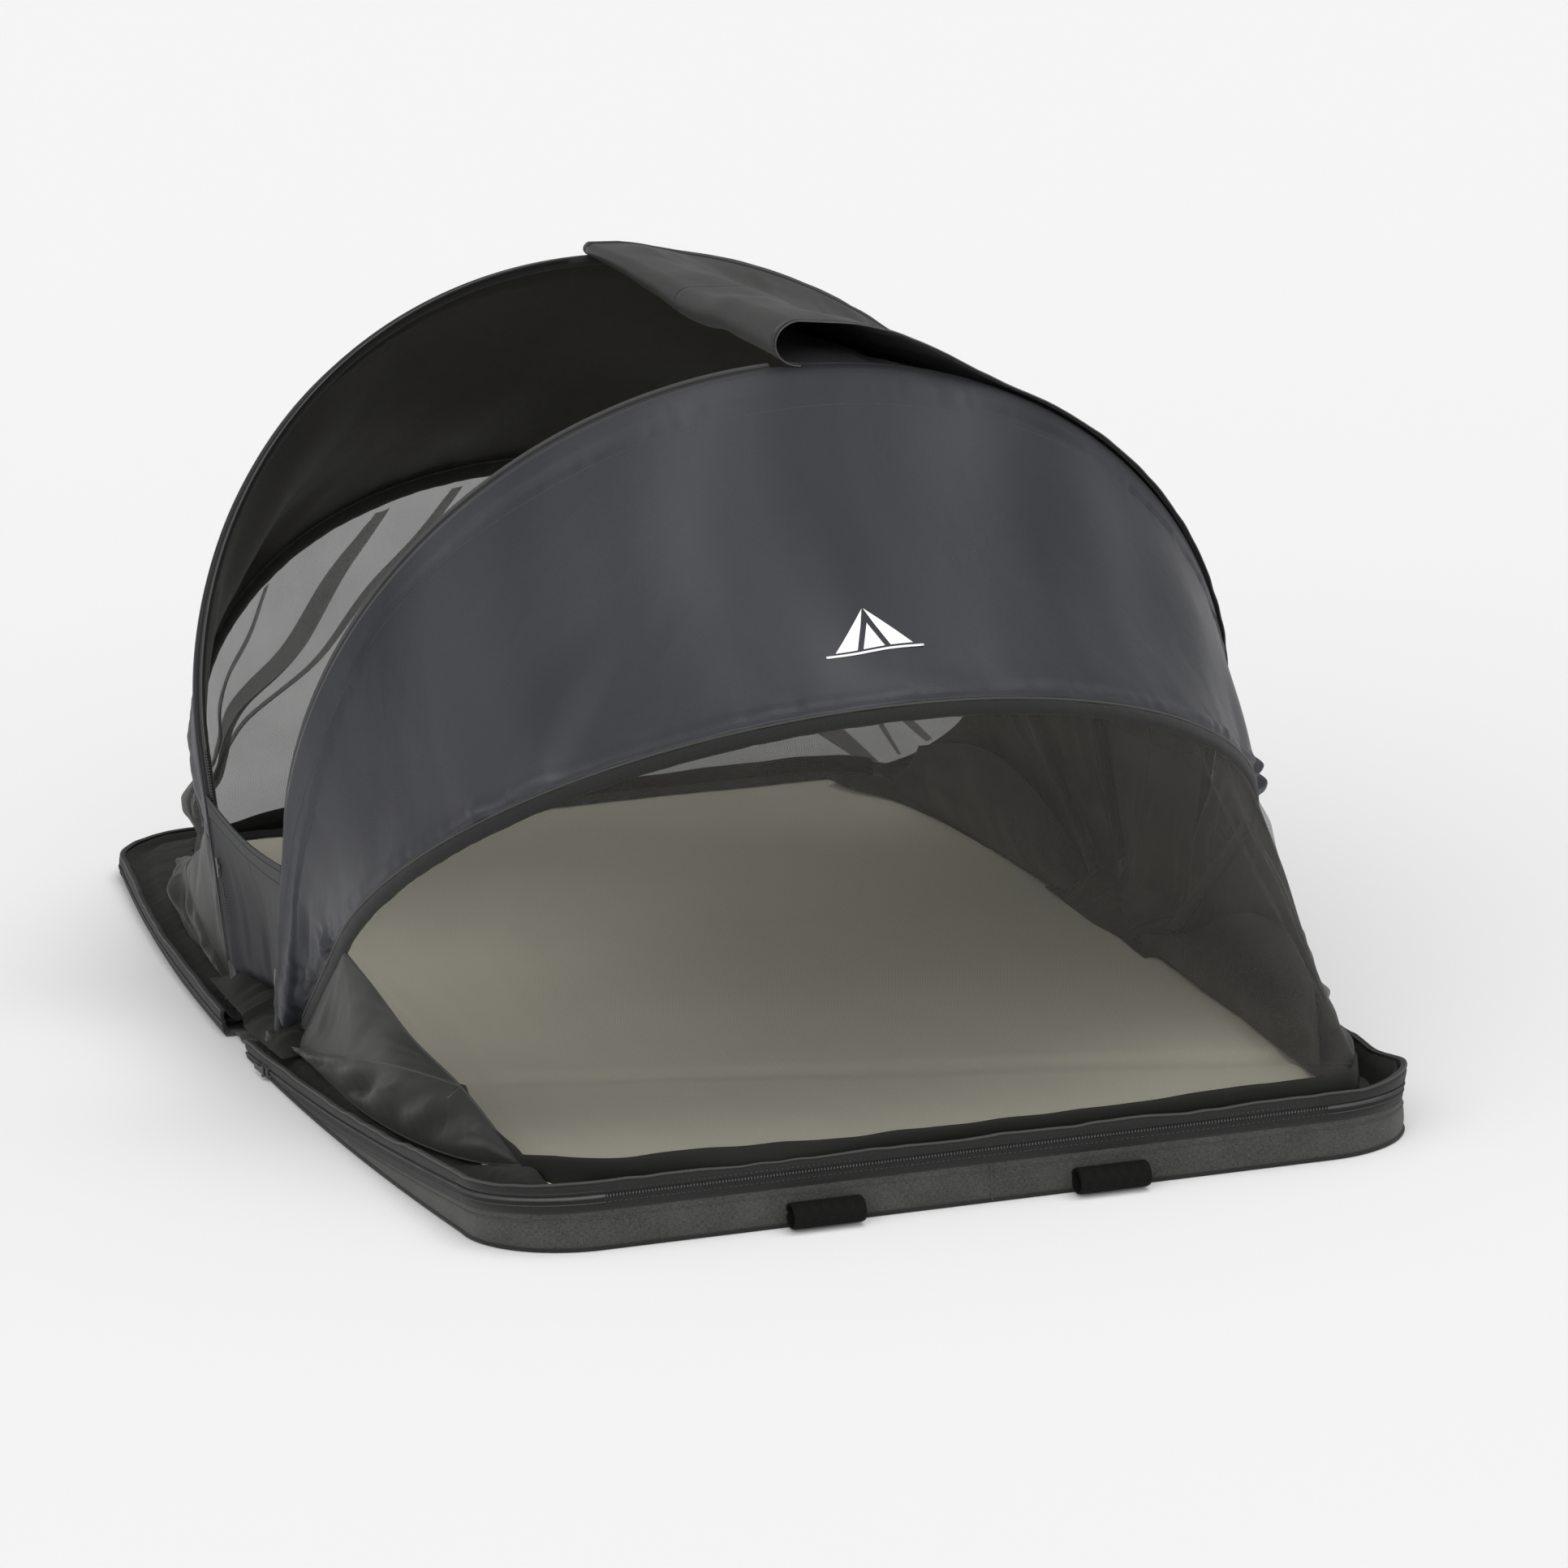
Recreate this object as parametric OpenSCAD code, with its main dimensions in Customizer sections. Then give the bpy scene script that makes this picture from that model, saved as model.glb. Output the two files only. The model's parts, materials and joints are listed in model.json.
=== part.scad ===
// Pop-up sleeping tent for a small child that folds flat into its own zipped case.
// The front half of the case is a tray, the rear half is a flat lid, and four spring hoops carry the fabric.
// +X is the right side, +Y points to the lid, +Z is up. The origin is on the ground, midway along the fold.
// All lengths are in millimetres and all angles in degrees.

/* [Case] */
// Length of the tray from the fold to its front edge
tray_length = 606; // [400:1:800]
// Half the width of the tray at its front end
end_half_width = 322; // [200:1:450]
// Half the width of the tray at the fold
fold_half_width = 363; // [220:1:480]
// Radius of the rounded corners of the case
corner_radius = 76; // [20:1:120]
// Height of the tray's rim at its front
front_rim_height = 46; // [30:1:80]
// Height of the tray's rim at the fold
fold_rim_height = 12; // [8:1:40]
// Thickness of the closed case, and width of the soft spine
closed_thickness = 64; // [60:1:100]
// How far the lid reaches past the tray all round
lid_overhang = 3.5; // [3.5:0.5:8]
// Height of the lid's edge
lid_rim_height = 19.5; // [8:0.5:30]

/* [Case fabric] */
// Thickness of the fabric bottoms
base_thickness = 2; // [1:0.5:4]
// Thickness of the stiffening boards
board_thickness = 3; // [2:0.5:5]
// Thickness of the padded walls
wall_thickness = 3; // [2:0.5:5]
// Height of the bottom piping
piping_height = 3; // [2:0.5:5]
// Height of the zip tape above the grey wall
tape_height = 12; // [6:1:20]
// Height of the bound rim above the zip tape
rim_height = 7; // [4:1:12]
// Radius of a zip coil
coil_radius = 0.9; // [0.5:0.1:1.5]
// Radius of the door's finer zip coil
door_coil_radius = 0.65; // [0.5:0.05:0.65]
// Thickness of the mattress pads
pad_thickness = 11; // [5:1:11]

/* [Hoops] */
// Distance from the fold to the hoops' pivots
pivot_setback = 66; // [40:1:90]
// Height of the hoops' pivots
pivot_height = 21; // [18:1:28]
// Radius of the arch of a main hoop
main_arch_radius = 347; // [200:1:400]
// Height of the arch's centre above the pivot, along a main hoop
main_arch_centre = 184; // [100:1:240]
// Angle of a main hoop above the floor
main_angle = 67.4; // [40:0.1:85]
// Radius of the arch of a window hoop
window_arch_radius = 331; // [180:1:380]
// Height of the arch's centre above the pivot, along a window hoop
window_arch_centre = 190; // [100:1:240]
// Angle of a window hoop above the floor
window_angle = 34.4; // [15:0.1:60]
// Radius of a hoop's fibreglass rod
rod_radius = 2.5; // [1.5:0.1:4]
// Outer radius of the fabric sleeve on a hoop
sleeve_radius = 4; // [3:0.1:6]
// Radius of the pivot pins
pin_radius = 2.5; // [2:0.1:4]

/* [Tent fabric] */
// Thickness of the tent's panels
cloth = 1; // [0.5:0.1:2]
// Gap left between a panel and a hoop's centre line for the sleeve
sleeve_gap = 7; // [5:0.5:12]
// Steps along the edge of a panel
panel_steps = 28; // [12:1:48]
// Height of the side gussets, along the main hoops
gusset_height = 150; // [80:1:220]
// Height of the door flap above the ridge of the door panel that it lies on
flap_lift = 16; // [8:1:30]

/* [Webbing loops] */
// Width of a webbing loop
loop_width = 50; // [25:1:60]
// Outer radius of a webbing loop
loop_radius = 10; // [6:0.5:16]
// Distance from the middle to each loop, left and right
loop_offsets = [-105, 95]; // [-250:1:250]

/* [Zip sliders] */
// Length of a slider body
slider_length = 15; // [10:1:25]
// Width of a slider body
slider_width = 8; // [6:0.5:14]
// Length of a pull tab
pull_length = 24; // [15:1:45]
// Distance of the case sliders from the fold
case_slider_setback = 96; // [40:1:200]
// Distance of the door sliders from the pivots, front and rear
door_slider_heights = [52, 96]; // [40:1:200]

/* [Hidden] */
$fn = 48;

spine_half = closed_thickness / 2;
board_top = base_thickness + board_thickness;
bracket_middle = (main_arch_radius + window_arch_radius) / 2;
eye_width = 7;
eye_radius = 5.5;
// Hoop descriptions: arch radius, arch centre, angle above the floor
MAIN = [main_arch_radius, main_arch_centre, main_angle];
WINDOW = [window_arch_radius, window_arch_centre, window_angle];

grey = [0.24, 0.25, 0.25];
black = [0.06, 0.06, 0.06];
navy = [0.13, 0.14, 0.17];
olive = [0.45, 0.43, 0.37];
net = [0.20, 0.20, 0.18];
metal = [0.35, 0.35, 0.36];

// ---- Case outline ----

// Half the width of the tray at distance d from the fold
function half_width(d) =
    end_half_width + (fold_half_width - end_half_width) * (1 - pow(d / tray_length, 2));

// Height of the tray's rim at distance d from the fold
function rim_top(d) =
    fold_rim_height + (front_rim_height - fold_rim_height) * pow(min(1, max(0, d) / tray_length), 1.25);

// Right half of the case outline, grown by g, from distance d0 to the middle of the front edge
function right_edge(g, d0) =
    let (last = tray_length - corner_radius, r = corner_radius + g, cx = half_width(last) - corner_radius)
    concat(
        [for (i = [0:11]) let (d = d0 + (last - d0) * i / 12) [half_width(d) + g, -d]],
        [for (a = [0:9:90]) [cx + r * cos(a), -last - r * sin(a)]]
    );

function mirrored(points) = [for (i = [len(points) - 1:-1:0]) [-points[i][0], points[i][1]]];

module case_half(g, d0) {
    edge = right_edge(g, d0);
    polygon(concat(edge, mirrored(edge)));
}

// An open ring that follows the case outline, between two offsets
module case_ring(outer, inner, height, d0 = spine_half) {
    linear_extrude(height)
        difference() {
            case_half(outer, d0);
            case_half(inner, d0 - 5);
        }
}

// Everything between two heights measured down from the tray's sloping rim, kept above a floor height
module rim_band(top_drop, bottom_drop, lowest) {
    d0 = tray_length * pow(max(0, lowest + top_drop + 0.3 - fold_rim_height)
        / (front_rim_height - fold_rim_height), 0.8);
    steps = [for (i = [0:14]) d0 + (tray_length + 12 - d0) * i / 14];
    top = [for (d = steps) [-d, rim_top(d) - top_drop]];
    bottom = [for (i = [14:-1:0]) [-steps[i], max(lowest, rim_top(steps[i]) - bottom_drop)]];
    rotate([90, 0, 90])
        linear_extrude(2 * fold_half_width + 40, center = true)
            polygon(concat(top, bottom));
}

module to_lid() {
    mirror([0, 1, 0])
        children();
}

// ---- Tray ----

module tray_base() {
    color(grey)
        linear_extrude(base_thickness)
            case_half(-wall_thickness, spine_half);
}

module tray_board() {
    color(black)
        translate([0, 0, base_thickness])
            linear_extrude(board_thickness)
                case_half(-wall_thickness - 2, spine_half);
}

module tray_piping() {
    color(black)
        case_ring(0.6, -wall_thickness, piping_height);
}

module tray_wall() {
    color(grey)
        intersection() {
            case_ring(0, -wall_thickness, front_rim_height);
            rim_band(rim_height + tape_height + 0.3, 200, piping_height);
        }
}

module tray_zip_tape() {
    color(black)
        intersection() {
            case_ring(0, -wall_thickness + 1, front_rim_height);
            rim_band(rim_height, rim_height + tape_height, piping_height);
        }
}

module tray_zip_coil() {
    color(black)
        intersection() {
            case_ring(1.2, 0.05, front_rim_height);
            rim_band(rim_height + 1, rim_height + 1 + 2 * coil_radius, piping_height);
        }
}

module tray_rim() {
    color(black)
        intersection() {
            case_ring(0, -wall_thickness, front_rim_height);
            rim_band(0, rim_height, piping_height);
        }
}

// Clearance in a pad around the brackets of the hoops
module bracket_notches() {
    for (side = [-1, 1])
        translate([side * 360, -pivot_setback, 0])
            square([100, 36], center = true);
}

module pad(inset) {
    translate([0, 0, board_top])
        linear_extrude(pad_thickness)
            difference() {
                case_half(-inset, spine_half + 2);
                bracket_notches();
            }
}

module mattress_front() {
    color(olive)
        pad(14);
}

module webbing_loop(x) {
    color(black)
        translate([x, -tray_length - loop_radius - 0.6, loop_radius])
            rotate([0, 90, 0])
                difference() {
                    cylinder(r = loop_radius, h = loop_width, center = true);
                    cylinder(r = loop_radius - 1.8, h = loop_width + 2, center = true);
                }
}

module webbing_loop_left() {
    webbing_loop(loop_offsets[0]);
}

module webbing_loop_right() {
    webbing_loop(loop_offsets[1]);
}

// One bracket: a foot plate and two ears that hold the pivot pin
module bracket(side) {
    middle = side * bracket_middle;
    difference() {
        union() {
            translate([middle - 19, -pivot_setback - 11, board_top])
                cube([38, 22, 3]);
            for (ear = [-15, 15])
                translate([middle + ear, -pivot_setback, 0]) {
                    translate([-1.5, -7, board_top])
                        cube([3, 14, pivot_height - board_top]);
                    translate([0, 0, pivot_height])
                        rotate([0, 90, 0])
                            cylinder(r = 7, h = 3, center = true);
                }
        }
        translate([middle, -pivot_setback, pivot_height])
            rotate([0, 90, 0])
                cylinder(r = pin_radius, h = 60, center = true);
    }
}

module front_brackets() {
    color(black)
        for (side = [-1, 1])
            bracket(side);
}

module front_pins() {
    color(metal)
        for (side = [-1, 1])
            translate([side * bracket_middle, -pivot_setback, pivot_height])
                rotate([0, 90, 0])
                    cylinder(r = pin_radius, h = 36, center = true);
}

// The soft spine that joins the tray to the lid
module spine() {
    color(grey)
        translate([-half_width(0) + 6, -spine_half + 1, 0])
            cube([2 * half_width(0) - 12, 2 * spine_half - 2, base_thickness]);
}

// ---- Lid ----

module lid_base() {
    color(grey)
        to_lid()
            linear_extrude(base_thickness)
                case_half(lid_overhang - wall_thickness, spine_half);
}

module lid_board() {
    color(black)
        to_lid()
            translate([0, 0, base_thickness])
                linear_extrude(board_thickness)
                    case_half(lid_overhang - wall_thickness - 2, spine_half);
}

module lid_wall() {
    color(black)
        to_lid()
            case_ring(lid_overhang, lid_overhang - wall_thickness, lid_rim_height);
}

module lid_zip_coil() {
    color(black)
        to_lid()
            translate([0, 0, lid_rim_height - 2 * coil_radius - 1])
                case_ring(lid_overhang + 1.2, lid_overhang + 0.05, 2 * coil_radius);
}

module mattress_rear() {
    color(olive)
        to_lid()
            pad(14);
}

module rear_brackets() {
    to_lid()
        front_brackets();
}

module rear_pins() {
    to_lid()
        front_pins();
}

// ---- Hoops ----

// Places a hoop's own plane: its X stays X and its Y runs up from the pivots
module on_hoop(hoop) {
    translate([0, -pivot_setback, pivot_height])
        rotate([180 - hoop[2], 0, 0])
            children();
}

// The straight right leg of a hoop, from height s0 above the pivot to height s1
module leg(hoop, s0, s1, radius) {
    translate([hoop[0], s0, 0])
        rotate([-90, 0, 0])
            cylinder(r = radius, h = s1 - s0);
}

// The arch of a hoop over the given angle from its right end
module arch(hoop, radius, angle = 180) {
    translate([0, hoop[1], 0])
        rotate_extrude(angle = angle)
            translate([hoop[0], 0])
                circle(r = radius);
}

// A round bar along a hoop from height s0, with short collars where its legs meet its arch
module hoop_bar(hoop, s0, radius, collar) {
    for (side = [0, 1])
        mirror([side, 0, 0]) {
            leg(hoop, s0, hoop[1], radius);
            leg(hoop, hoop[1] - 4, hoop[1] + 4, radius + collar);
        }
    arch(hoop, radius);
}

// The rod's sections are joined by metal tubes a little wider than the rod
module rod(hoop) {
    on_hoop(hoop)
        hoop_bar(hoop, 6, rod_radius, 0.4);
}

// The sleeve is bound with tape where the rod's sections meet
module sleeve(hoop) {
    on_hoop(hoop)
        difference() {
            hoop_bar(hoop, 28, sleeve_radius, 0.3);
            hoop_bar(hoop, 24, rod_radius + 0.5, 0.1);
        }
}

// The two ferrules at a hoop's feet: a socket for the rod and an eye that turns on the pin
module ferrules(hoop) {
    on_hoop(hoop)
        for (side = [0, 1])
            mirror([side, 0, 0])
                difference() {
                    union() {
                        leg(hoop, 3, 27, sleeve_radius);
                        translate([hoop[0], 0, 0])
                            rotate([0, 90, 0])
                                cylinder(r = eye_radius, h = eye_width, center = true);
                    }
                    leg(hoop, 6, 40, rod_radius + 0.02);
                    translate([hoop[0], 0, 0])
                        rotate([0, 90, 0])
                            cylinder(r = pin_radius + 0.05, h = eye_width + 20, center = true);
                }
}

module front_window_rod() {
    color(metal)
        rod(WINDOW);
}

module front_window_ferrules() {
    color(black)
        ferrules(WINDOW);
}

module front_window_sleeve() {
    color(black)
        sleeve(WINDOW);
}

module front_hoop_rod() {
    color(metal)
        rod(MAIN);
}

module front_hoop_ferrules() {
    color(black)
        ferrules(MAIN);
}

module front_hoop_sleeve() {
    color(navy)
        sleeve(MAIN);
}

// The coil of the door zip runs along the door side of the front main hoop's left half
module front_door_coil() {
    color(black)
        on_hoop(MAIN)
            mirror([1, 0, 0])
                translate([0, 0, -sleeve_radius - door_coil_radius - 0.52]) {
                    leg(MAIN, 34, main_arch_centre, door_coil_radius);
                    leg(MAIN, main_arch_centre - 3, main_arch_centre + 3, door_coil_radius + 0.2);
                    arch(MAIN, door_coil_radius, 84);
                }
}

module rear_window_rod() {
    to_lid()
        front_window_rod();
}

module rear_window_ferrules() {
    to_lid()
        front_window_ferrules();
}

module rear_window_sleeve() {
    to_lid()
        front_window_sleeve();
}

module rear_hoop_rod() {
    to_lid()
        front_hoop_rod();
}

module rear_hoop_ferrules() {
    to_lid()
        front_hoop_ferrules();
}

module rear_hoop_sleeve() {
    to_lid()
        front_hoop_sleeve();
}

module rear_door_coil() {
    to_lid()
        front_door_coil();
}

// ---- Tent fabric ----

// Point on a hoop's centre line; t runs from 0 at the right foot through 0.5 at the top to 1 at the left foot
function hoop_plane_point(hoop, t) =
    let (
        run = min(t, 1 - t) * (2 * hoop[1] + hoop[0] * PI),
        side = t > 0.5 ? -1 : 1,
        a = (run - hoop[1]) / hoop[0] * 180 / PI
    )
    run < hoop[1] ? [side * hoop[0], run] : [side * hoop[0] * cos(a), hoop[1] + hoop[0] * sin(a)];

function hoop_point(hoop, t) =
    let (p = hoop_plane_point(hoop, t))
    [p[0], -pivot_setback - p[1] * cos(hoop[2]), pivot_height + p[1] * sin(hoop[2])];

function unit(v) = v / max(norm(v), 0.000001);

// Point between p and q, at share w of the line left over once both margins are taken off
function between(p, q, w, margin_p, margin_q) =
    p + unit(q - p) * (margin_p + (norm(q - p) - margin_p - margin_q) * w);

// A closed thin solid through a grid of points
module sheet(grid, thickness) {
    rows = len(grid);
    cols = len(grid[0]);
    normals = [for (i = [0:rows - 1]) [for (j = [0:cols - 1])
        unit(cross(
            grid[min(i + 1, rows - 1)][j] - grid[max(i - 1, 0)][j],
            grid[i][min(j + 1, cols - 1)] - grid[i][max(j - 1, 0)]
        ))]];
    upper = [for (i = [0:rows - 1]) for (j = [0:cols - 1]) grid[i][j] + normals[i][j] * thickness / 2];
    lower = [for (i = [0:rows - 1]) for (j = [0:cols - 1]) grid[i][j] - normals[i][j] * thickness / 2];
    n = rows * cols;
    quads = [for (i = [0:rows - 2]) for (j = [0:cols - 2]) i * cols + j];
    border = concat(
        [for (j = [0:cols - 2]) [j, j + 1]],
        [for (i = [0:rows - 2]) [i * cols + cols - 1, (i + 1) * cols + cols - 1]],
        [for (j = [cols - 1:-1:1]) [(rows - 1) * cols + j, (rows - 1) * cols + j - 1]],
        [for (i = [rows - 1:-1:1]) [i * cols, (i - 1) * cols]]
    );
    faces = concat(
        [for (k = quads) [k, k + 1, k + cols + 1]],
        [for (k = quads) [k, k + cols + 1, k + cols]],
        [for (k = quads) [n + k, n + k + cols + 1, n + k + 1]],
        [for (k = quads) [n + k, n + k + cols, n + k + cols + 1]],
        [for (e = border) [e[0], n + e[0], n + e[1]]],
        [for (e = border) [e[0], n + e[1], e[1]]]
    );
    polyhedron(points = concat(upper, lower), faces = faces, convexity = 8);
}

// The visor spans the gap between the main hoop and the window hoop
module front_visor() {
    color(navy)
        sheet([for (i = [0:panel_steps]) let (t = 0.06 + 0.88 * i / panel_steps)
            [for (w = [0:0.25:1])
                between(hoop_point(MAIN, t), hoop_point(WINDOW, t), w, sleeve_gap, sleeve_gap)]], cloth);
}

// Seam between the window netting and a side panel; w runs from the hoop's foot to the end corner
function seam_point(side, w, rim) =
    let (
        foot = [side * (window_arch_radius - 8), -pivot_setback - 80, 52],
        crest = [side * window_arch_radius, -pivot_setback - 300, rim + 44],
        corner = [side * (end_half_width - 44), -tray_length + 14, rim + 2]
    )
    foot * pow(1 - w, 2) + crest * 2 * w * (1 - w) + corner * pow(w, 2);

// Lower edge of the window netting; t runs from the right foot to the left foot
function netting_hem(t, rim) =
    t < 0.36 ? seam_point(1, (t - 0.06) / 0.3, rim)
    : t > 0.64 ? seam_point(-1, (0.94 - t) / 0.3, rim)
    : [(0.5 - t) / 0.14 * (end_half_width - 44), -tray_length + 14, rim + 2];

// Netting from a window hoop down to a rim of the given height
module netting(rim) {
    color(net)
        sheet([for (i = [0:panel_steps]) let (t = 0.08 + 0.84 * i / panel_steps)
            [for (w = [0:0.25:1])
                between(hoop_point(WINDOW, t), netting_hem(t, rim), w, sleeve_gap, 0)]], cloth);
}

// Side panel from the seam down to the side of the case, whose rim is rims[0] high at the fold and rims[1] at its end
module side_panel(side, rims) {
    color(navy)
        sheet([for (i = [0:14])
            let (
                w = 0.04 + 0.94 * i / 14,
                d = pivot_setback + 40 + 420 * w,
                hem = [side * (half_width(d) - 6), -d, rims[0] + (rims[1] - rims[0]) * d / tray_length + 4]
            )
            [for (v = [0:0.25:1]) between(seam_point(side, w, rims[1]), hem, v, 3, 0)]], cloth);
}

module front_mesh() {
    netting(front_rim_height);
}

module front_side_left() {
    side_panel(-1, [fold_rim_height, front_rim_height]);
}

module front_side_right() {
    side_panel(1, [fold_rim_height, front_rim_height]);
}

module rear_mesh() {
    to_lid()
        netting(lid_rim_height);
}

module rear_visor() {
    to_lid()
        front_visor();
}

module rear_side_left() {
    to_lid()
        side_panel(-1, [lid_rim_height, lid_rim_height]);
}

module rear_side_right() {
    to_lid()
        side_panel(1, [lid_rim_height, lid_rim_height]);
}

// Share of a main hoop's length at which the gussets end
gusset_share = gusset_height / (2 * main_arch_centre + PI * main_arch_radius);

// A panel from the front main hoop to the middle of the tent. A lift raises it off the line of the hoops, most of
// all along the ridge
module half_roof(t0, t1, steps, lift = 0, gap = sleeve_gap) {
    sheet([for (i = [0:steps])
        let (
            t = t0 + (t1 - t0) * i / steps,
            p = hoop_point(MAIN, t),
            q = [p[0], -0.5, p[2]],
            rise = lift * max(0.2, 1 - pow((0.5 - t) / 0.2, 2)),
            out = unit([p[0], 0, p[2] - 170]) * rise
        )
        [for (w = [0:0.25:1]) between(p, q, w, gap + rise * 0.2, 0) + out]], cloth);
}

module door_panel_front() {
    color(navy)
        half_roof(gusset_share + 0.012, 0.5, 20);
}

// The unzipped left half of the door, thrown back over the right half
module door_flap_front() {
    color(navy)
        half_roof(0.13, 0.5, 22, flap_lift);
}

// The gussets start far enough from the hoops for the door sliders to pass
module gusset_front(t0, t1) {
    color(navy)
        half_roof(t0, t1, 6, gap = sleeve_gap + 5);
}

module gusset_front_right() {
    gusset_front(0.05, gusset_share);
}

module gusset_front_left() {
    gusset_front(1 - gusset_share, 0.95);
}

module door_panel_rear() {
    to_lid()
        door_panel_front();
}

module door_flap_rear() {
    to_lid()
        door_flap_front();
}

module gusset_rear_right() {
    to_lid()
        gusset_front_right();
}

module gusset_rear_left() {
    to_lid()
        gusset_front_left();
}

// ---- Zip sliders ----

// A slider body lying on a coil that runs along Y, with two lugs for its pull's bar
module slider_body(channel) {
    difference() {
        union() {
            translate([-slider_width / 2, -slider_length / 2, 0])
                cube([slider_width, slider_length, 3.4]);
            for (side = [-1, 1])
                translate([side * 3.2 - 0.6, -1.6, 3.4])
                    cube([1.2, 3.2, 2]);
        }
        translate([-channel, -slider_length, -1])
            cube([2 * channel, 2 * slider_length, 3.2]);
        translate([-2.5, -2.2, 2.6])
            cube([5, 4.4, 3]);
        translate([0, 0, 4.2])
            rotate([0, 90, 0])
                cylinder(r = 0.85, h = slider_width + 2, center = true);
    }
}

// The pull turns on a round bar held by the slider's lugs
module pull() {
    translate([0, 0, 4.2]) {
        rotate([0, 90, 0])
            cylinder(r = 0.8, h = 7, center = true);
        translate([-2.2, 0, -0.6])
            cube([4.4, pull_length, 1.2]);
    }
}

// Places a part on the coil of the tray's right side, with Y along the coil and Z outwards
module on_case_coil(side) {
    d = case_slider_setback;
    turn = atan(2 * d * (fold_half_width - end_half_width) / pow(tray_length, 2));
    slope = atan((rim_top(d + 40) - rim_top(d - 40)) / 80);
    mirror([side < 0 ? 1 : 0, 0, 0])
        translate([half_width(d) + 0.7, -d, rim_top(d) - rim_height - 1 - coil_radius])
            rotate([0, 0, -turn])
                rotate([-slope, 0, 0])
                    rotate([0, 90, 0])
                        children();
}

module case_slider(side) {
    color(metal)
        on_case_coil(side)
            slider_body(2);
}

module case_pull(side) {
    color(metal)
        on_case_coil(side)
            pull();
}

module case_slider_left() {
    case_slider(-1);
}

module case_slider_right() {
    case_slider(1);
}

module case_pull_left() {
    case_pull(-1);
}

module case_pull_right() {
    case_pull(1);
}

// Places a part on the door coil of the front main hoop's left leg, s above the pivot
module on_door_coil(s) {
    on_hoop(MAIN)
        translate([-main_arch_radius, s, -sleeve_radius - 0.1])
            rotate([180, 0, 0])
                children();
}

module door_slider_front() {
    color(metal)
        on_door_coil(door_slider_heights[0])
            slider_body(2.2);
}

module door_pull_front() {
    color(metal)
        on_door_coil(door_slider_heights[0])
            pull();
}

module door_slider_rear() {
    color(metal)
        to_lid()
            on_door_coil(door_slider_heights[1])
                slider_body(2.2);
}

module door_pull_rear() {
    color(metal)
        to_lid()
            on_door_coil(door_slider_heights[1])
                pull();
}

tray_base();
tray_board();
tray_piping();
tray_wall();
tray_zip_tape();
tray_zip_coil();
tray_rim();
mattress_front();
webbing_loop_left();
webbing_loop_right();
front_brackets();
front_pins();
front_mesh();
front_side_left();
front_side_right();
spine();
lid_base();
lid_board();
lid_wall();
lid_zip_coil();
mattress_rear();
rear_brackets();
rear_pins();
rear_mesh();
rear_side_left();
rear_side_right();
front_window_rod();
front_window_ferrules();
front_window_sleeve();
front_visor();
front_hoop_rod();
front_hoop_ferrules();
front_hoop_sleeve();
front_door_coil();
door_panel_front();
door_flap_front();
gusset_front_left();
gusset_front_right();
rear_window_rod();
rear_window_ferrules();
rear_window_sleeve();
rear_visor();
rear_hoop_rod();
rear_hoop_ferrules();
rear_hoop_sleeve();
rear_door_coil();
door_panel_rear();
door_flap_rear();
gusset_rear_left();
gusset_rear_right();
case_slider_left();
case_pull_left();
case_slider_right();
case_pull_right();
door_slider_front();
door_pull_front();
door_slider_rear();
door_pull_rear();
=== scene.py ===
"""Looks of a pop-up sleeping tent that folds flat into its own zipped case.

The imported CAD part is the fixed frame. The fabric, zips, seams and padding are built here around it, in
metres, in the same frame: +X is the right side, +Y points to the lid and +Z is up.
Most pieces are made once for the front half and mirrored across the fold for the rear half.
"""

import json
import math

import bmesh
import bpy
import numpy as np
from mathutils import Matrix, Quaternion, Vector


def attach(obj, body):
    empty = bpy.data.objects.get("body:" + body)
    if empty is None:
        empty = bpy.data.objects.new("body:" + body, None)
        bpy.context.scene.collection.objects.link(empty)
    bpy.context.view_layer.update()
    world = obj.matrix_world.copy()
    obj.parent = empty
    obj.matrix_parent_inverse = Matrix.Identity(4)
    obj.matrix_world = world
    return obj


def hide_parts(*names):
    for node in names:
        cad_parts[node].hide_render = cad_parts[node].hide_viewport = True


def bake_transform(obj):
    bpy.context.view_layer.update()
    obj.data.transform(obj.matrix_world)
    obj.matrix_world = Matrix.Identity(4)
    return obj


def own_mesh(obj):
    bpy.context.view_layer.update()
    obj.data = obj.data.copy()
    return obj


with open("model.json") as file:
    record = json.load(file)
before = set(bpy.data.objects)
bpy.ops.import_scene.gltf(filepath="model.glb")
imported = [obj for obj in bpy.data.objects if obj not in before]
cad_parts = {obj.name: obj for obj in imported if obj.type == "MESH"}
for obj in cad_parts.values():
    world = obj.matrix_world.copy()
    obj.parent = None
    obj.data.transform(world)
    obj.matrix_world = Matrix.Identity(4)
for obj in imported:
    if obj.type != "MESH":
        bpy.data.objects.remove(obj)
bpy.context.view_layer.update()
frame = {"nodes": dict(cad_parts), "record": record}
nodes = frame["nodes"]

# ---- Dimensions of the part, in metres ----

# Each half of the case, from the fold to its end, and half its width at the end and at the fold
TRAY_LENGTH = 0.606
END_HALF_WIDTH = 0.322
FOLD_HALF_WIDTH = 0.363
CORNER_RADIUS = 0.076
# Heights of the tray's rim at its front end and at the fold, and of the lid's rim all round
FRONT_RIM = 0.046
FOLD_RIM = 0.012
LID_RIM = 0.0195
# How far the lid stands out beyond the tray, and half the width of the soft spine between them
LID_OVERHANG = 0.0035
SPINE_HALF = 0.032
# Layers of the edge, from the top down: bound rim, zip tape, and the foot of the wall above the floor
RIM_HEIGHT = 0.007
TAPE_HEIGHT = 0.012
WALL_FOOT = 0.0012
# Heights of the top of the stiffening boards and of the pads
BOARD_TOP = 0.005
PAD_TOP = 0.016
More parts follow.
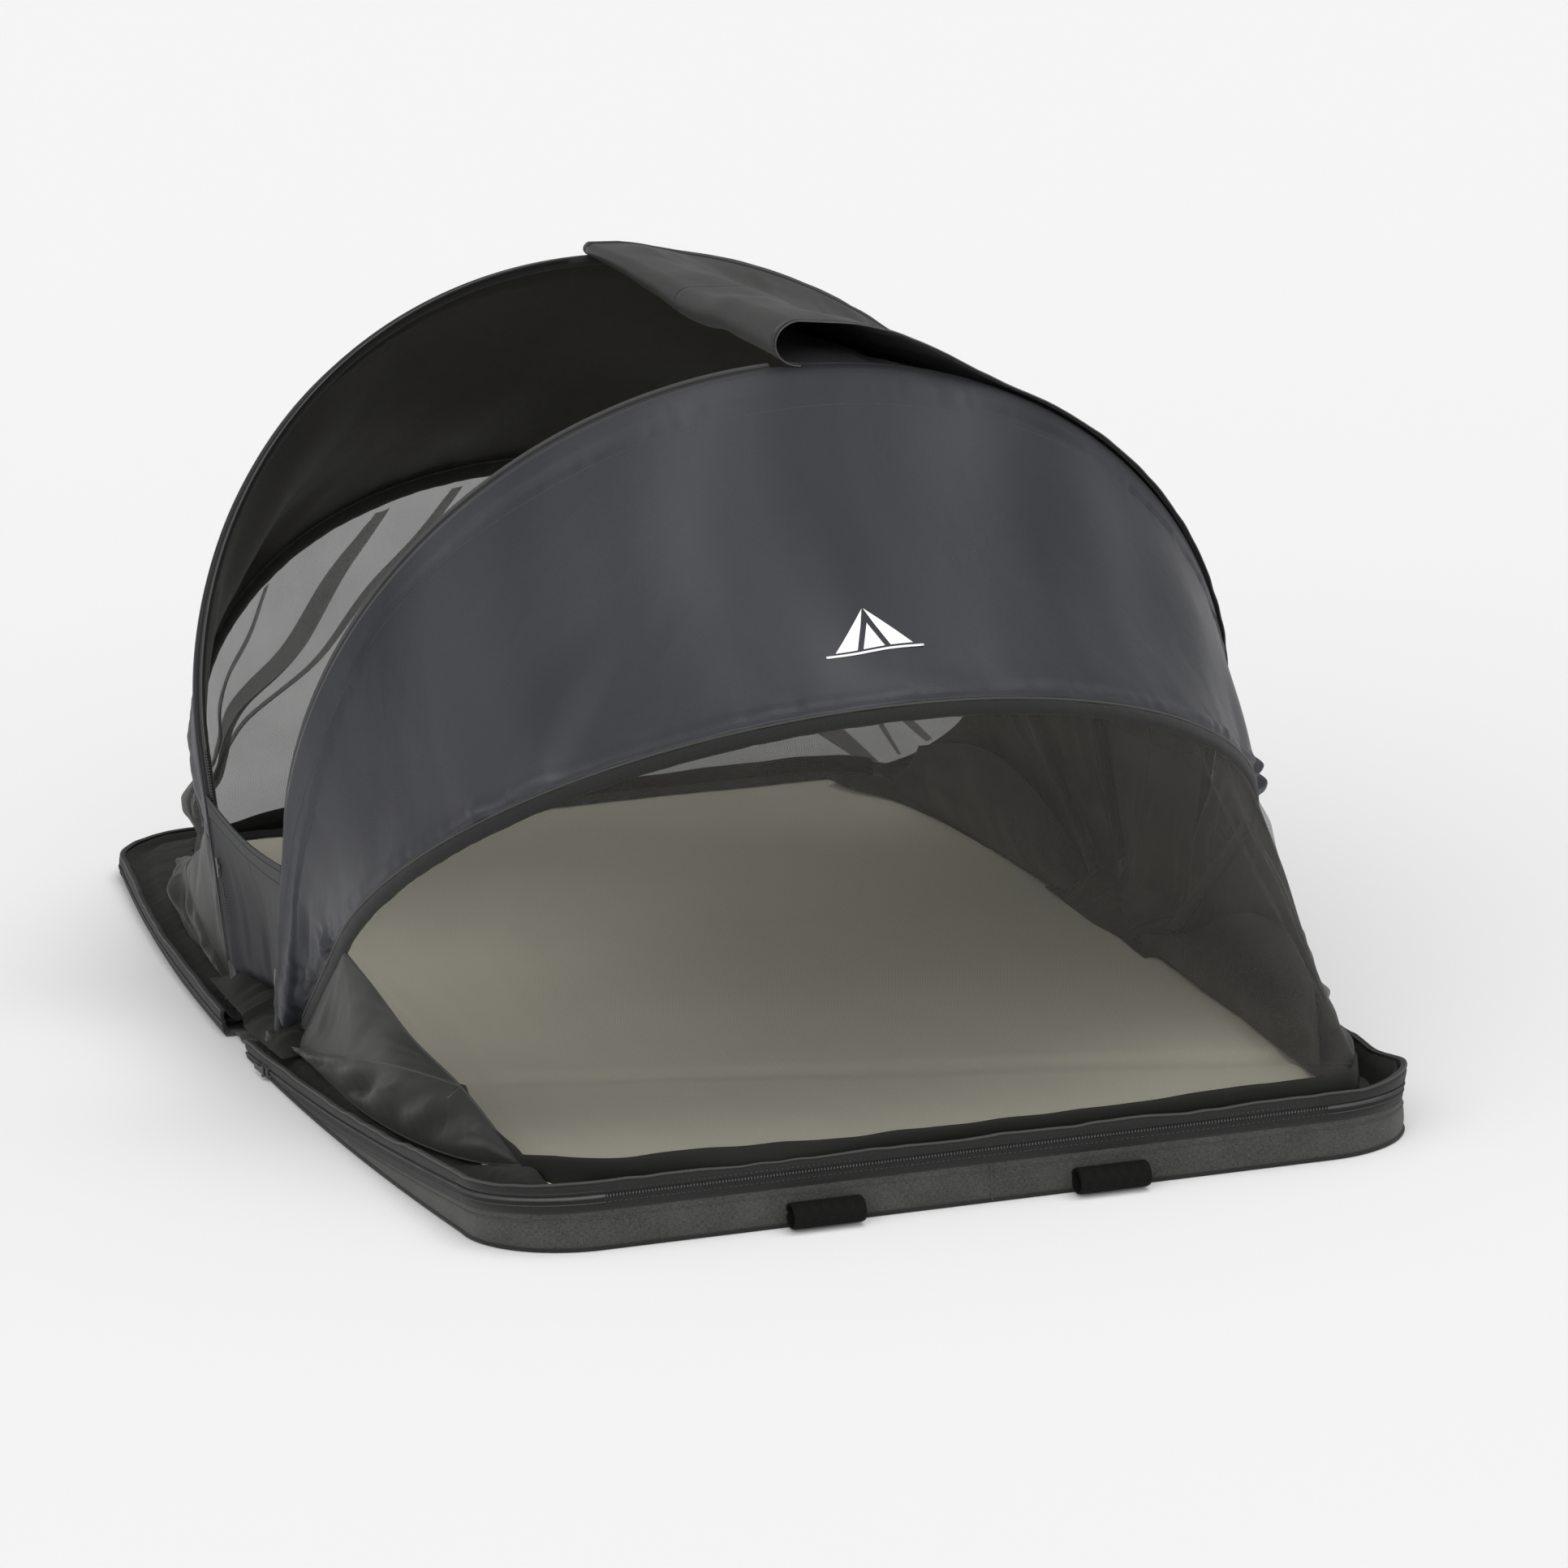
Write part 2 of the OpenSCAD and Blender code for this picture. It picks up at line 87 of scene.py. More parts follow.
# Pivots of the hoops: distance from the fold and height above the floor
PIVOT_SETBACK = 0.066
PIVOT_HEIGHT = 0.021
# Length of main hoop that a gusset covers
GUSSET_HEIGHT = 0.150
# A hoop is the radius of its arch, the length of its straight legs, and its angle above the floor
MAIN = (0.347, 0.184, math.radians(67.4))
WINDOW = (0.331, 0.190, math.radians(34.4))
# Webbing loops on the tray's front edge: their places across it, their radius and the webbing's width
LOOP_OFFSETS = (-0.105, 0.095)
LOOP_RADIUS = 0.010
LOOP_WIDTH = 0.050
# The two halves of the tent
WORDS = {False: "front", True: "rear"}
# A point in the middle of the air space of the front half
TENT_MIDDLE = np.array([0, -0.2, 0.1])
# Where the side panels' window seams leave the window hoop, as shares of its length from the nearer foot
SEAM_LEFT = 0.130
SEAM_RIGHT = 0.205

# ---- Small tools ----


def noise(u, v, seed):
    """Smooth noise from -1 to 1 over a plane, with about one bump per unit."""
    lattice = np.random.default_rng(seed).uniform(-1, 1, (128, 128))
    u, v = np.broadcast_arrays(np.asarray(u, float), np.asarray(v, float))
    column, row = np.floor(u).astype(int), np.floor(v).astype(int)
    a, b = u - column, v - row
    a, b = a * a * (3 - 2 * a), b * b * (3 - 2 * b)
    c0, c1, r0, r1 = column % 128, (column + 1) % 128, row % 128, (row + 1) % 128
    low = lattice[r0, c0] * (1 - a) + lattice[r0, c1] * a
    high = lattice[r1, c0] * (1 - a) + lattice[r1, c1] * a
    return low * (1 - b) + high * b


def fade(value, start, stop):
    """0 before start, 1 after stop, smooth in between; start may lie after stop."""
    share = np.clip((value - start) / (stop - start), 0, 1)
    return share * share * (3 - 2 * share)


def bump_at(value, centre, width):
    """A smooth bump, 1 at centre and gone at width away from it."""
    return 1 - fade(np.abs(value - centre), 0, width)


def unit(vectors):
    """The vectors at length 1."""
    return vectors / np.maximum(np.linalg.norm(vectors, axis=-1, keepdims=True), 1e-9)


def grid_normals(points):
    """The normal at each point of a grid."""
    return unit(np.cross(np.gradient(points, axis=1), np.gradient(points, axis=0)))


def pushed(points, amount):
    """A grid moved along its own normals."""
    return points + grid_normals(points) * amount[..., None]


def relaxed(points, steps, held):
    """A grid smoothed like a stretched film, with the held points kept where they are."""
    points = points.copy()
    for _ in range(steps):
        middle = (
            np.roll(points, 1, 0) + np.roll(points, -1, 0) + np.roll(points, 1, 1) + np.roll(points, -1, 1)
        ) / 4
        points = np.where(held[..., None], points, middle)
    return points


def border(grid):
    """Which points of a grid lie on its border."""
    held = np.zeros(grid.shape[:2], bool)
    held[[0, -1]] = True
    held[:, [0, -1]] = True
    return held


def lengths(path):
    """Distance along a path to each of its points."""
    return np.concatenate([[0], np.cumsum(np.linalg.norm(np.diff(path, axis=0), axis=1))])


def resampled(path, spacing):
    """The path with points evenly spaced along it."""
    along = lengths(path)
    count = max(2, int(round(along[-1] / spacing)) + 1)
    wanted = np.linspace(0, along[-1], count)
    return np.stack([np.interp(wanted, along, path[:, k]) for k in range(path.shape[1])], axis=1)


def flipped(points, rear):
    """Points of the front half, or their mirror image in the rear half."""
    return points * np.array([1, -1, 1]) if rear else points


def outward_sign(grid):
    """1 where a grid's normals mostly point out of the front half of the tent, or -1 where they point in."""
    return np.sign((grid_normals(grid) * (grid - TENT_MIDDLE)).sum(axis=2).mean())


def add_mesh(name, points, faces, material, uv=None):
    """A smooth-shaded object from points and faces; uv holds one pair for each point."""
    mesh = bpy.data.meshes.new(name)
    mesh.from_pydata(points.reshape(-1, 3).tolist(), [], faces)
    if uv is not None:
        layer = mesh.uv_layers.new(name="cloth")
        corner = np.empty(len(mesh.loops), np.int32)
        mesh.loops.foreach_get("vertex_index", corner)
        layer.data.foreach_set("uv", uv.reshape(-1, 2)[corner].astype(np.float32).ravel())
    for item in material if isinstance(material, (list, tuple)) else [material]:
        mesh.materials.append(item)
    mesh.validate()
    mesh.shade_smooth()
    made = bpy.data.objects.new(name, mesh)
    bpy.context.scene.collection.objects.link(made)
    return made


def turned_out(made):
    """The object with its faces turned to the outside."""
    box = bmesh.new()
    box.from_mesh(made.data)
    bmesh.ops.recalc_face_normals(box, faces=box.faces)
    box.to_mesh(made.data)
    box.free()
    return made


def grid_faces(rows, columns, wrap=False):
    """Quads over a grid; wrap joins the last column to the first."""
    last = columns if wrap else columns - 1
    faces = []
    for i in range(rows - 1):
        here, after = i * columns, (i + 1) * columns
        for j in range(last):
            k = (j + 1) % columns
            faces.append((here + j, here + k, after + k, after + j))
    return faces


def cloth(name, points, material, thickness=0.0007, inside=(0, 0, 0.12)):
    """A sheet through a grid of points. material may be (outer, inner), and the inner side faces inside."""
    normals = np.cross(np.gradient(points, axis=0), np.gradient(points, axis=1))
    away = points - np.array(inside)
    if (normals * away).sum() < 0:
        points = points[:, ::-1]
    steps_v = np.linalg.norm(np.diff(points, axis=0), axis=2)
    steps_u = np.linalg.norm(np.diff(points, axis=1), axis=2)
    v = np.concatenate([np.zeros((1, points.shape[1])), np.cumsum(steps_v, 0)])
    u = np.concatenate([np.zeros((points.shape[0], 1)), np.cumsum(steps_u, 1)], axis=1)
    rows, columns = points.shape[:2]
    faces = [(a, d, c, b) for a, b, c, d in grid_faces(rows, columns)]
    made = add_mesh(name, points, faces, material, np.stack([u, v], axis=2))
    if thickness:
        solid = made.modifiers.new("thickness", "SOLIDIFY")
        solid.thickness = thickness
        solid.offset = 0
        if isinstance(material, (list, tuple)):
            solid.material_offset = 1
    return made


def swept(name, path, sideways, upwards, profile, material, closed=True):
    """A strip along a path. Its profile is pairs of (sideways, upwards), and it may vary along the path."""
    profile = np.broadcast_to(profile, (len(path),) + np.shape(profile)[-2:])
    points = (
        path[:, None]
        + sideways[:, None] * profile[..., 0:1]
        + upwards[:, None] * profile[..., 1:2]
    )
    rows, columns = points.shape[:2]
    faces = grid_faces(rows, columns, wrap=closed)
    if closed:
        faces.append(tuple(range(columns - 1, -1, -1)))
        faces.append(tuple(range((rows - 1) * columns, rows * columns)))
    u = lengths(points[0])[None, :].repeat(rows, 0)
    v = lengths(path)[:, None].repeat(columns, 1)
    return turned_out(add_mesh(name, points, faces, material, np.stack([u, v], axis=2)))


def round_profile(radius, sides):
    """A regular polygon as a strip's profile."""
    angles = np.linspace(0, 2 * math.pi, sides, endpoint=False)
    return np.stack([np.cos(angles), np.sin(angles)], axis=1) * radius


def beads(name, path, along, upwards, half_length, half_width, half_height, material):
    """A row of small elongated studs, one at each point of a path: stitches or zip teeth."""
    across = unit(np.cross(along, upwards))
    corners = [
        path - along * half_length,
        path - across * half_width,
        path + upwards * half_height,
        path + across * half_width,
        path - upwards * half_height,
        path + along * half_length,
    ]
    points = np.stack(corners, axis=1)
    pattern = [(0, 2, 1), (0, 3, 2), (0, 4, 3), (0, 1, 4), (5, 1, 2), (5, 2, 3), (5, 3, 4), (5, 4, 1)]
    faces = [tuple(6 * k + c for c in face) for k in range(len(path)) for face in pattern]
    return add_mesh(name, points, faces, material)


def stitched(name, path, upwards, material, pitch=0.0036):
    """A row of stitches along a path that lies on a surface facing upwards."""
    both = resampled(np.concatenate([path, upwards], axis=1), pitch)
    spots, up = both[:, :3], unit(both[:, 3:])
    along = unit(np.gradient(spots, axis=0))
    return beads(name, spots + up * 0.0002, along, up, 0.36 * pitch, 0.0004, 0.0004, material)


def zip_teeth(name, path, across, upwards, material, pitch=0.0022):
    """The coil of a zip: teeth that lie across a path."""
    both = resampled(np.concatenate([path, across, upwards], axis=1), pitch)
    return beads(name, both[:, :3], unit(both[:, 3:6]), unit(both[:, 6:]), 0.0017, 0.00085, 0.0009, material)


# ---- Materials ----


class Graph:
    """Adds nodes to a material's tree. An input is given a value, or the output socket to link to it."""

    def __init__(self, name):
        self.material = bpy.data.materials.new(name)
        self.material.use_nodes = True
        self.tree = self.material.node_tree
        self.shader = self.tree.nodes["Principled BSDF"]

    def add(self, kind, inputs=(), output=0, **settings):
        node = self.tree.nodes.new("ShaderNode" + kind)
        for key, value in settings.items():
            setattr(node, key, value)
        for key, value in dict(inputs).items():
            if isinstance(value, bpy.types.NodeSocket):
                self.tree.links.new(value, node.inputs[key])
            else:
                node.inputs[key].default_value = value
        return node.outputs[output]

    def math(self, operation, first, second=0.0, third=0.0):
        return self.add("Math", {0: first, 1: second, 2: third}, operation=operation)

    def noise(self, where, scale, detail=3.0, roughness=0.5):
        inputs = {"Vector": where, "Scale": scale, "Detail": detail, "Roughness": roughness}
        return self.add("TexNoise", inputs)

    def ramp(self, factor, low, high, from_min=0.3, from_max=0.7):
        """Goes from colour low to colour high as factor goes from from_min to from_max."""
        share = self.add("MapRange", {"Value": factor, "From Min": from_min, "From Max": from_max})
        mix = self.tree.nodes.new("ShaderNodeMix")
        mix.data_type = "RGBA"
        self.tree.links.new(share, mix.inputs[0])
        for slot, colour in ((6, low), (7, high)):
            if isinstance(colour, bpy.types.NodeSocket):
                self.tree.links.new(colour, mix.inputs[slot])
            else:
                mix.inputs[slot].default_value = (*colour, 1)
        return mix.outputs[2]

    def place(self, on_cloth):
        """Metres along the cloth, or metres in the object's own frame."""
        if on_cloth:
            return self.add("UVMap", uv_map="cloth")
        return self.add("TexCoord", output=3)

    def bump(self, height, distance, strength=1.0):
        normal = self.add("Bump", {"Height": height, "Distance": distance, "Strength": strength})
        self.tree.links.new(normal, self.shader.inputs["Normal"])

    def colour(self, socket):
        self.tree.links.new(socket, self.shader.inputs["Base Color"])

    def set(self, **values):
        for key, value in values.items():
            self.shader.inputs[key.replace("_", " ")].default_value = value


# Satin bands: how far their pattern is shifted along the cloth, and bands per metre across and along it
BAND_SHIFT = (0, 0.35, 0)
BAND_SCALE = (1.6, 7.5, 1.0)


def scaled(colour, factor):
    """A lighter or darker colour."""
    return tuple(min(1.0, c * factor) for c in colour)


def threads(graph, where, pitch, pattern):
    """Height of a woven pattern, from 0 to 1."""
    parts = graph.tree.nodes.new("ShaderNodeSeparateXYZ")
    graph.tree.links.new(where, parts.inputs[0])
    x, y = parts.outputs[0], parts.outputs[1]
    turn = 2 * math.pi / pitch
    if pattern == "twill":
        slant = graph.math("ADD", x, y)
        return graph.math("MULTIPLY_ADD", graph.math("SINE", graph.math("MULTIPLY", slant, turn)), 0.5, 0.5)
    if pattern == "herringbone":
        zigzag = graph.math("PINGPONG", x, 0.0042)
        slant = graph.math("ADD", graph.math("MULTIPLY", zigzag, 1.3), y)
        return graph.math("MULTIPLY_ADD", graph.math("SINE", graph.math("MULTIPLY", slant, turn)), 0.5, 0.5)
    if pattern == "rib":
        return graph.math("MULTIPLY_ADD", graph.math("SINE", graph.math("MULTIPLY", y, turn)), 0.5, 0.5)
    weft = graph.math("SINE", graph.math("MULTIPLY", x, turn))
    warp = graph.math("SINE", graph.math("MULTIPLY", y, turn))
    return graph.math("MULTIPLY_ADD", graph.math("MULTIPLY", weft, warp), 0.5, 0.5)


def fabric(name, colour, roughness=0.8, pitch=0.0008, pattern="plain", relief=0.00012, mottle=0.12,
           grain=0.12, sheen=0.1, specular=0.3, on_cloth=True, creases=0.0, worn=None, bands=0.0):
    """A woven fabric: thread pattern, fine grain and soft uneven tone. Where wanted, it has fine creases, worn
    patches, and satin bands of more and less gloss across the cloth."""
    g = Graph(name)
    where = g.place(on_cloth)
    weave = threads(g, where, pitch, pattern)
    broad = g.noise(where, 7.0, 2.0)
    fine = g.noise(where, 900.0, 2.0, 0.7)
    tone = g.ramp(broad, scaled(colour, 1 - mottle), scaled(colour, 1 + mottle))
    speck = g.ramp(fine, scaled(colour, 1 - 2 * grain), scaled(colour, 1 + 2 * grain), 0.35, 0.65)
    blend = g.ramp(weave, tone, speck, -0.4, 1.4)
    if worn:
        patch = g.noise(where, 22.0, 6.0, 0.65)
        blend = g.ramp(patch, blend, worn, 0.62, 1.1)
    g.colour(blend)
    height = g.math("MULTIPLY_ADD", fine, 0.6, weave)
    if creases:
        ridge = g.math("ABSOLUTE", g.math("SUBTRACT", g.noise(where, 16.0, 4.0, 0.55), 0.5))
        height = g.math("MULTIPLY_ADD", ridge, -creases / relief, height)
    g.bump(height, relief)
    g.set(Roughness=roughness, Sheen_Weight=sheen, Sheen_Roughness=0.5, Specular_IOR_Level=specular)
    if bands:
        stretched = g.add("Mapping", {"Vector": where, "Location": BAND_SHIFT, "Scale": BAND_SCALE})
        wide = g.noise(stretched, 1.0, 1.5)
        limits = {"From Min": 0.36, "From Max": 0.64}
        limits.update({"To Min": specular * (1 - bands), "To Max": specular * (1 + bands)})
        gloss = g.add("MapRange", {"Value": wide, **limits})
        g.tree.links.new(gloss, g.shader.inputs["Specular IOR Level"])
    return g.material


def melange(name, dark, light, on_cloth=True):
    """A heathered weave: short light and dark fibres mixed along both thread directions."""
    g = Graph(name)
    where = g.place(on_cloth)
    along = g.add("Mapping", {"Vector": where, "Scale": (330.0, 1500.0, 900.0)})
    across = g.add("Mapping", {"Vector": where, "Scale": (1500.0, 330.0, 900.0)})
    first, second = g.noise(along, 1.0, 2.0, 0.6), g.noise(across, 1.0, 2.0, 0.6)
    fibres = g.math("MULTIPLY_ADD", first, 0.5, g.math("MULTIPLY", second, 0.5))
    patchy = g.noise(where, 30.0, 3.0)
    both = g.math("MULTIPLY_ADD", patchy, 0.25, fibres)
    g.colour(g.ramp(both, dark, light, 0.5, 0.75))
    weave = threads(g, where, 0.0011, "plain")
    g.bump(g.math("MULTIPLY_ADD", fibres, 1.2, weave), 0.00018)
    g.set(Roughness=0.92, Sheen_Weight=0.15, Sheen_Roughness=0.6, Specular_IOR_Level=0.2)
    return g.material


def netting_material(name, colour, open_share):
    """Fine netting: threads on a small square pattern, with see-through holes between them."""
    g = Graph(name)
    where = g.place(True)
    weave = threads(g, where, 0.0013, "plain")
    soft = g.noise(where, 12.0, 2.0)
    cover = g.math("MULTIPLY_ADD", weave, 0.30, 1 - open_share - 0.15)
    cover = g.math("MULTIPLY_ADD", g.math("SUBTRACT", soft, 0.5), 0.10, cover)
    g.colour(g.ramp(soft, scaled(colour, 0.85), scaled(colour, 1.15)))
    g.bump(weave, 0.0001)
    g.tree.links.new(cover, g.shader.inputs["Alpha"])
    g.set(Roughness=0.7, Sheen_Weight=0.1, Specular_IOR_Level=0.2)
    g.material.surface_render_method = "DITHERED"
    return g.material


def hard(name, colour, roughness, metallic=0.0, texture=0.00006, scale=700.0, worn=None):
    """A moulded, coated or drawn surface with a fine texture, uneven gloss and wear."""
    g = Graph(name)
    where = g.place(False)
    patchy = g.noise(where, 60.0, 5.0, 0.6)
    tone = g.ramp(patchy, scaled(colour, 0.8), scaled(colour, 1.25))
    if worn:
        edge = g.add("NewGeometry", output=7)
        tone = g.ramp(edge, tone, worn, 0.53, 0.62)
    g.colour(tone)
    limits = {"To Min": roughness * 0.8, "To Max": min(1.0, roughness * 1.2)}
    gloss = g.add("MapRange", {"Value": patchy, **limits})
    g.tree.links.new(gloss, g.shader.inputs["Roughness"])
    g.bump(g.noise(where, scale, 2.0), texture)
    g.set(Metallic=metallic)
    return g.material


TENT = fabric("tent_outside", (0.022, 0.023, 0.029), roughness=0.44, pitch=0.0009, relief=0.00008,
              mottle=0.10, grain=0.10, sheen=0.03, specular=0.36, creases=0.0016, bands=0.45)
# A darker copy of the tent's outer cloth, with no sheen: painted shade for the shadow that falls on the low
# walls beside the fold
GUSSET_PAINTED_SHADE = fabric("gusset_outside_painted_shade", (0.011, 0.0115, 0.014), roughness=0.55, pitch=0.0009, relief=0.00008,
                mottle=0.10, sheen=0.0, specular=0.30, creases=0.0006)
TENT_INSIDE = fabric("tent_inside", (0.017, 0.0165, 0.0155), roughness=0.48, pitch=0.0009, relief=0.00008,
                     creases=0.0014, specular=0.38, sheen=0.02)
SLEEVE = fabric("hoop_sleeve", (0.016, 0.016, 0.016), roughness=0.85, pitch=0.0010, mottle=0.15,
                specular=0.15)
LINING = fabric("case_lining", (0.012, 0.012, 0.010), roughness=0.85, pitch=0.0010, mottle=0.2,
                creases=0.0006, sheen=0.04, specular=0.2, worn=(0.03, 0.03, 0.026))
SKIRT = fabric("side_panel", (0.013, 0.013, 0.011), roughness=0.46, pitch=0.0009, mottle=0.15, specular=0.27,
               creases=0.0010)
MELANGE = melange("melange_weave", (0.018, 0.019, 0.017), (0.060, 0.062, 0.055))
BINDING = fabric("black_binding", (0.011, 0.011, 0.0105), roughness=0.85, pitch=0.0012, pattern="rib",
                 relief=0.00015, grain=0.2, worn=(0.045, 0.045, 0.042))
PIPING = fabric("edge_piping", (0.040, 0.040, 0.037), roughness=0.6, pitch=0.0016, pattern="rib",
                relief=0.0001)
THREAD = fabric("thread", (0.05, 0.05, 0.048), roughness=0.6, pitch=0.0006, pattern="twill", on_cloth=False)
NET = netting_material("netting", (0.034, 0.032, 0.027), 0.58)
NET_DENSE = netting_material("rear_netting", (0.030, 0.029, 0.026), 0.26)
PAD = fabric("mattress_fabric", (0.78, 0.745, 0.59), roughness=0.9, pitch=0.0016, relief=0.0002, mottle=0.05,
             grain=0.05, sheen=0.2, specular=0.2, on_cloth=False)
COVER = fabric("mattress_cover", (0.78, 0.745, 0.59), roughness=0.9, pitch=0.0016, relief=0.0002, mottle=0.04,
               grain=0.05, sheen=0.2, specular=0.2, creases=0.0006)
WEBBING = fabric("webbing", (0.006, 0.006, 0.0055), roughness=0.7, pitch=0.0026, pattern="herringbone",
                 relief=0.0005, grain=0.25, sheen=0.0, specular=0.10)
COIL = hard("zip_coil", (0.050, 0.050, 0.050), 0.45)
PLASTIC = hard("moulded_plastic", (0.02, 0.02, 0.02), 0.5, texture=0.0001, scale=1200.0)
METAL = hard("coated_metal", (0.012, 0.012, 0.012), 0.42, metallic=0.1, worn=(0.06, 0.06, 0.06))
FIBREGLASS = hard("fibreglass", (0.05, 0.05, 0.05), 0.3)
BOARD = hard("stiffening_board", (0.03, 0.03, 0.03), 0.7)
PRINT = fabric("white_print", (0.80, 0.80, 0.79), roughness=0.55, pitch=0.0009, relief=0.00006,
               mottle=0.02, grain=0.02, sheen=0.0)

CAD_FINISHES = {
    "board": BOARD,
    "moulded_plastic": PLASTIC,
    "coated_metal": METAL,
    "fibreglass": FIBREGLASS,
    "zip_coil": COIL,
}
for part in frame["record"]["subparts"]:
    finish = CAD_FINISHES.get(part["material_slot"])
    if finish:
        shown = nodes[part["node"]]
        for place in shown.material_slots:
            place.material = finish


# ---- Shape of the case ----


def half_width(d):
    """Half the width of the case at a distance from the fold; its sides curve in towards the ends."""
    return END_HALF_WIDTH + (FOLD_HALF_WIDTH - END_HALF_WIDTH) * (1 - (d / TRAY_LENGTH) ** 2)


def tray_rim(d):
    """Height of the tray's rim, which rises towards the front end."""
    return FOLD_RIM + (FRONT_RIM - FOLD_RIM) * np.clip(d / TRAY_LENGTH, 0, 1) ** 1.25


def lid_rim(d):
    """Height of the lid's rim, the same all round."""
    return np.full_like(d, LID_RIM)


class Edge:
    """The edge of the tray or the lid, from its left end at the fold round to its right end."""

    def __init__(self, rear, spacing=0.003):
        self.rear = rear
        grown = LID_OVERHANG if rear else 0.0
        last = TRAY_LENGTH - CORNER_RADIUS
        centre = half_width(last) - CORNER_RADIUS
        radius = CORNER_RADIUS + grown
        side = np.array([[half_width(d) + grown, -d] for d in np.linspace(SPINE_HALF, last, 60)])
        turns = np.radians(np.arange(4, 91, 4))
        corner = np.stack([centre + radius * np.cos(turns), -last - radius * np.sin(turns)], axis=1)
        right = np.concatenate([side, corner])
        left = right[::-1] * [-1, 1]
        flat = resampled(np.concatenate([right, left])[::-1], spacing)
        along = unit(np.gradient(flat, axis=0))
        self.out = flipped(np.stack([along[:, 1], -along[:, 0], 0 * along[:, 0]], axis=1), rear)
        self.path = flipped(np.concatenate([flat, np.zeros((len(flat), 1))], axis=1), rear)
        if (self.out * self.path).sum() < 0:
            self.out = -self.out
        self.d = np.abs(self.path[:, 1])
        self.run = np.arange(len(flat)) * spacing
        self.rim = (lid_rim if rear else tray_rim)(self.d)
        self.up = np.tile([0.0, 0.0, 1.0], (len(flat), 1))

    def at(self, out, height):
        """Points along the edge, moved outwards and upwards."""
        out = np.broadcast_to(out, self.run.shape)
        height = np.broadcast_to(height, self.run.shape)
        return self.path + self.out * out[:, None] + self.up * height[:, None]


def edge_wall(name, edge, levels, material, closed_inside=0.0022):
    """A band along the edge through (out, height) pairs from bottom to top, given thickness inwards."""
    inner = [(np.asarray(out) - closed_inside, height) for out, height in levels[::-1]]
    points = np.stack([edge.at(out, height) for out, height in [*levels, *inner]], axis=1)
    rows, columns = points.shape[:2]
    faces = grid_faces(rows, columns, wrap=True)
    faces.append(tuple(range(columns)))
    faces.append(tuple(range(rows * columns - 1, (rows - 1) * columns - 1, -1)))
    around = lengths(points[rows // 2])
    uv = np.stack([around[None, :].repeat(rows, 0), edge.run[:, None].repeat(columns, 1)], axis=2)
    return turned_out(add_mesh(name, points, faces, material, uv))


def seam(name, edge, out, height, radius, material):
    """A thin cord along the edge."""
    path = edge.at(out, height)
    return swept(name, path, edge.out, edge.up, round_profile(radius, 8), material)


# Every sheet of cloth, with how it is held, what it rests on and the pieces sewn to it
SHEETS = []


def declare(piece, held, rests_on, with_pieces=()):
    """Notes a sheet in the list of sheets, with how it is held, what it rests on and the pieces sewn to it."""
    SHEETS.append((piece, held, rests_on, with_pieces))


def dress(piece, slot, *replaced):
    """Hides the CAD nodes that a piece stands for. The piece and its material slot are not used."""
    if replaced:
        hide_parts(*replaced)


def finish_piece(piece, body, slot, replaced=()):
    """Puts a piece on its body and hides the CAD nodes that it stands for. Its material slot is not used."""
    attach(piece, body)
    dress(piece, slot, *replaced)


def build_tray_wall(edge, tape_low):
    """The heathered wall of the tray, with a line of stitching, one closing seam and the piping at its foot."""
    puff = 0.0012 + 0.0006 * noise(edge.run / 0.08, 1, 9)
    room = np.clip((tape_low - WALL_FOOT) / 0.02, 0, 1)
    height = tape_low - WALL_FOOT
    swell = puff * room
    # The wall's cross-section as (out, share of its height): the cloth bulges, and the stitching draws it in
    section = [(-0.0004, 0.0), (swell * 0.4, 0.12), (swell, 0.35), (swell * 0.9, 0.6), (swell * 0.35, 0.78),
               (swell * 0.05, 0.82), (swell * 0.3, 0.86), (swell * 0.1, 1.0)]
    levels = [(out, WALL_FOOT + height * k) for out, k in section]
    wall = edge_wall("tray_wall_fabric", edge, levels, MELANGE)
    finish_piece(wall, "tray", "melange_fabric", ["tray_wall"])
    line = WALL_FOOT + height * 0.82
    keep = height > 0.006
    rows = stitched("tray_wall_stitching", edge.at(0.0004, line)[keep], edge.out[keep], THREAD)
    finish_piece(rows, "tray", "melange_fabric")
    join = int(len(edge.run) * 0.508)
    column = np.stack([edge.at(0.0011, WALL_FOOT + height * k)[join] for k in np.linspace(0.02, 0.98, 12)])
    outward = np.tile(edge.out[join], (12, 1))
    sideways = unit(np.cross(outward, edge.up[:12]))
    closing = swept("tray_wall_seam", column, sideways, outward, round_profile(0.0007, 6), MELANGE)
    finish_piece(closing, "tray", "melange_fabric")
    foot = seam("tray_foot_piping", edge, 0.0002, 0.0014, 0.0014, BINDING)
    finish_piece(foot, "tray", "black_binding", ["tray_piping"])


def build_case_zip(edge, body, tape_low, tape_high):
    """Half of the case's zip: the band of tape, the teeth and a line of stitching on each side of them."""
    band = [
        (0.0002, tape_low),
        (0.0009, tape_low + (tape_high - tape_low) * 0.3),
        (0.0008, tape_low + (tape_high - tape_low) * 0.75),
        (0.0003, tape_high),
    ]
    tape = edge_wall(body + "_zip_band", edge, band, BINDING)
    finish_piece(tape, body, "black_binding", ["lid_wall" if edge.rear else "tray_zip_tape"])
    coil_line = np.maximum(edge.rim - RIM_HEIGHT - 0.0019, WALL_FOOT + 0.0020)
    teeth = zip_teeth(body + "_zip_teeth", edge.at(0.0016, coil_line), edge.up, edge.out, COIL)
    finish_piece(teeth, body, "zip_coil", [body + "_zip_coil"])
    for shift, level in ((-0.0042, "low"), (0.0038, "high")):
        keep = coil_line + shift > tape_low + 0.0012
        if keep.sum() > 40:
            spots = edge.at(0.0011, coil_line + shift)
            rows = stitched(f"{body}_zip_stitching_{level}", spots[keep], edge.out[keep], THREAD)
            finish_piece(rows, body, "black_binding")


